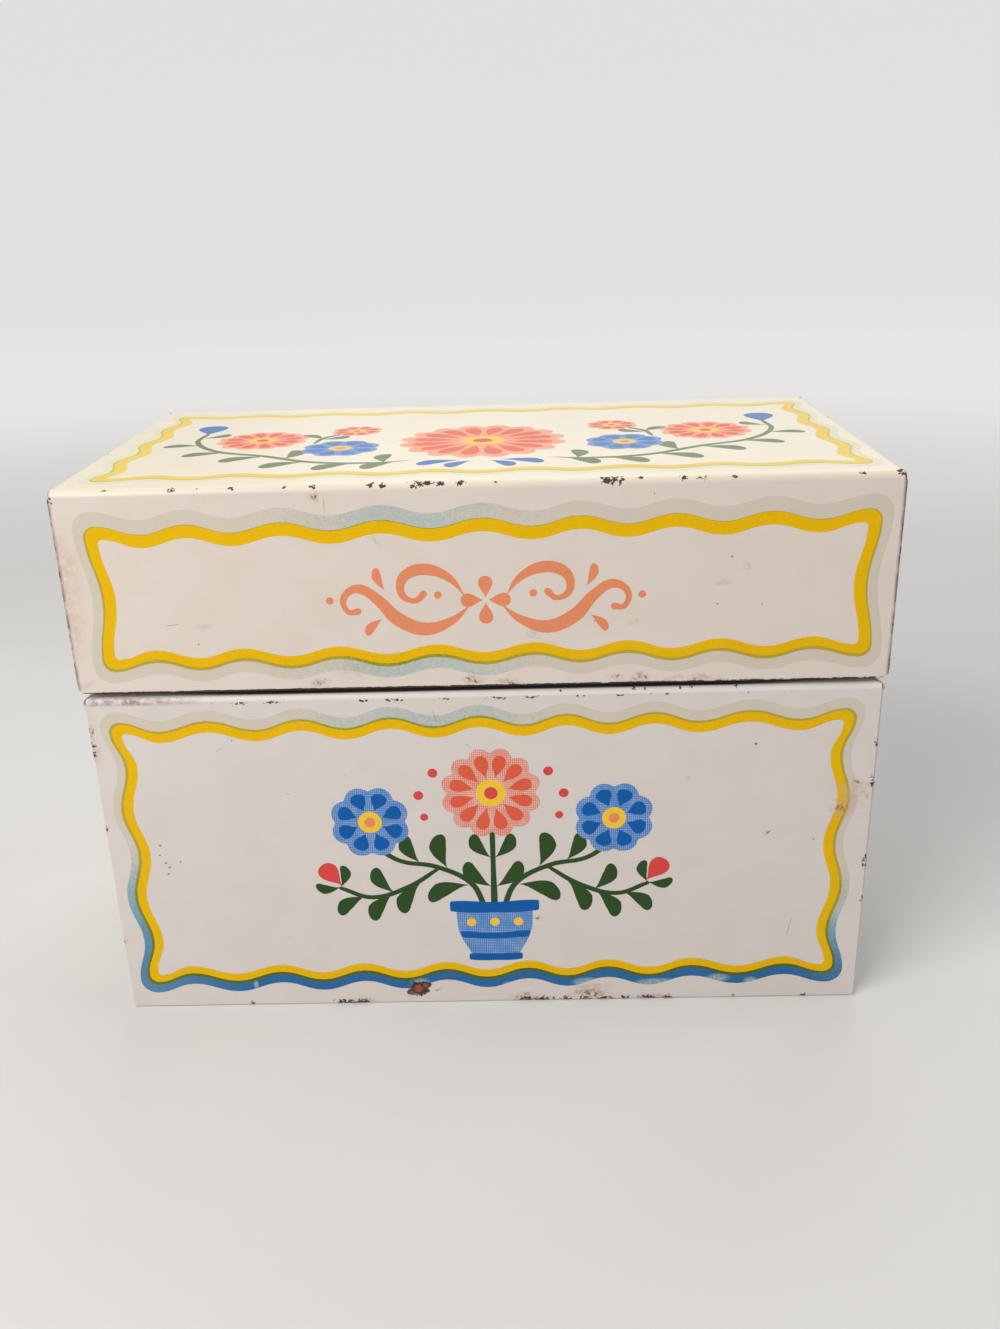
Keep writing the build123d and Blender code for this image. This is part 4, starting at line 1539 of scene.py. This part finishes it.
@dataclass(frozen=True)
class Studio:
    """The floor, the lamps and the camera, in metres and radians, with its lens in millimetres."""

    lens: float = 32.45
    sensor: float = 36.0
    clip_start: float = 0.01
    stand: Place = (0.00673, -0.21835, 0.13752)
    yaw: float = math.radians(-1.118)
    pitch: float = math.radians(21.364)
    roll: float = math.radians(-1.629)
    floor_reach: float = 1.5
    sweep_height: float = 1.6
    sweep_radius: float = 0.5
    sweep_steps: int = 16
    lit_point: Place = (0.0, 0.0, 0.05)
    room: Colour = (0.181, 0.193, 0.21, 1.0)
    lamps: tuple[Lamp, ...] = (
        Lamp("key_lamp", (-0.33, -0.37, 0.42), 0.4, 3.0, (1.0, 0.968, 0.925)),
        Lamp("top_lamp", (-0.05, 0.2, 1.15), 0.9, 2.3, (1.0, 0.985, 0.95)),
        Lamp("side_lamp", (1.0, 0.05, 0.5), 0.8, 3.0, (0.97, 0.98, 1.0)),
        Lamp("back_lamp", (0.15, 0.95, 0.85), 1.0, 4.4, (1.0, 0.985, 0.95)),
    )

    def build(self) -> None:
        """Set up the floor, the lamps, the world and the camera."""
        self.floor()
        for lamp in self.lamps:
            lamp.hang(self.lit_point)
        self.world()
        self.camera()
        bpy.context.scene.view_settings.view_transform = "Standard"
        log.info("studio: %d lamps", len(self.lamps))

    def floor(self) -> None:
        """Make a floor that sweeps up behind the box."""
        bpy.ops.object.select_all(action="DESELECT")
        bpy.ops.mesh.primitive_plane_add(size=2 * self.floor_reach, location=(0.0, 0.0, 0.0))
        floor = bpy.context.object
        floor.name = "studio_floor"
        bpy.ops.object.mode_set(mode="EDIT")
        bpy.ops.mesh.select_all(action="DESELECT")
        self.pick_back_edge(floor)
        rise = (0.0, 0.0, self.sweep_height)
        bpy.ops.mesh.extrude_region_move(TRANSFORM_OT_translate={"value": rise})
        self.pick_back_edge(floor)
        bpy.ops.mesh.bevel(offset=self.sweep_radius, segments=self.sweep_steps, affect="EDGES")
        bpy.ops.object.mode_set(mode="OBJECT")
        bpy.ops.object.shade_smooth()
        floor.data.materials.append(FloorPaint().material())

    def pick_back_edge(self, floor: bpy.types.Object) -> None:
        """Select the edge along the floor's back, and go into edit mode.

        Args:
            floor: The floor.
        """
        bpy.ops.object.mode_set(mode="OBJECT")
        for edge in floor.data.edges:
            ends = [floor.data.vertices[number].co for number in edge.vertices]
            edge.select = all(end.y > 0.0 and abs(end.z) < MM for end in ends)
        bpy.ops.object.mode_set(mode="EDIT")

    def world(self) -> None:
        """Fill the room with plain soft light."""
        world = bpy.context.scene.world or bpy.data.worlds.new("studio")
        bpy.context.scene.world = world
        world.use_nodes = True
        world.node_tree.nodes.clear()
        graph = Graph(world.node_tree)
        colour = graph.blend(seen(graph), self.room, PALE_GREY)
        sky = graph.take("ShaderNodeBackground", 0, {"Color": colour, "Strength": 1.0})
        graph.add("ShaderNodeOutputWorld", {"Surface": sky})

    def camera(self) -> None:
        """Stand the camera in front of the box and make it the scene's own."""
        ahead = Vector((math.sin(self.yaw) * math.cos(self.pitch),
                        math.cos(self.yaw) * math.cos(self.pitch), -math.sin(self.pitch)))
        level = Vector((math.cos(self.yaw), -math.sin(self.yaw), 0.0))
        up = level.cross(ahead)
        across = level * math.cos(self.roll) + up * math.sin(self.roll)
        above = up * math.cos(self.roll) - level * math.sin(self.roll)
        bpy.ops.object.camera_add(location=self.stand)
        camera = bpy.context.object
        axes = Matrix((across, above, -ahead)).transposed().to_4x4()
        camera.matrix_world = Matrix.Translation(self.stand) @ axes
        camera.data.sensor_fit = "VERTICAL"
        camera.data.sensor_height = self.sensor
        camera.data.lens = self.lens
        camera.data.clip_start = self.clip_start
        bpy.context.scene.camera = camera


def borders() -> list[WavyBorder]:
    """List the wavy borders of every panel.

    Returns:
        The borders.
    """
    lid_across = (-52.6, -38.4, -22.8, -7.0, 8.9, 23.9, 38.7, 53.7)
    base_across = (-54.3, -38.0, -22.9, -8.0, 6.8, 21.1, 36.1, 52.9)
    lid_upward, base_upward = (79.2,), (14.4, 32.1, 49.0)
    lid_dip, base_dip = 1.5, 1.8
    made = [
        WavyBorder(LID_FRONT, -60.5, 62.1, 67.85, 90.2, lid_across, lid_upward, lid_dip,
                   outer_width=2.15),
        WavyBorder(LID_TOP, -60.8, 61.9, -29.6, 28.2, lid_across, evenly(-30.6, 29.2, 4),
                   yellow_half=1.2, inks=(GHOST_BAND, PALE_YELLOW, GHOST_LINE)),
        WavyBorder(BASE_FRONT, -61.6, 61.0, 6.0, 56.35, base_across, base_upward, base_dip,
                   slip=(0.0, -0.1), yellow_half=1.05, trap=0.5, outer_width=1.8),
        WavyBorder(LID_BACK, -61.5, 61.5, 68.6, 90.2, evenly(-62.5, 62.5, 8), lid_upward, lid_dip),
        WavyBorder(BASE_BACK, -61.2, 61.2, 6.15, 56.2, evenly(-62.3, 62.3, 8), base_upward,
                   base_dip),
    ]
    for lid, base in ((LID_LEFT, BASE_LEFT), (LID_RIGHT, BASE_RIGHT)):
        made += [
            WavyBorder(lid, -31.4, 31.0, 67.85, 90.2, evenly(-32.4, 32.0, 4), lid_upward, lid_dip),
            WavyBorder(base, -31.2, 31.2, 6.15, 56.2, evenly(-32.2, 32.2, 4), base_upward,
                       base_dip),
        ]
    return made


def main() -> None:
    """Dress the shells and the wires, print the panels and set up the studio."""
    logging.basicConfig(level=logging.INFO, format="%(message)s")
    for part in (Shells(), Hinges(), *borders(), FlowerPot(), Scrollwork(), Garland(), Studio()):
        part.build()


if __name__ == "__main__":
    main()
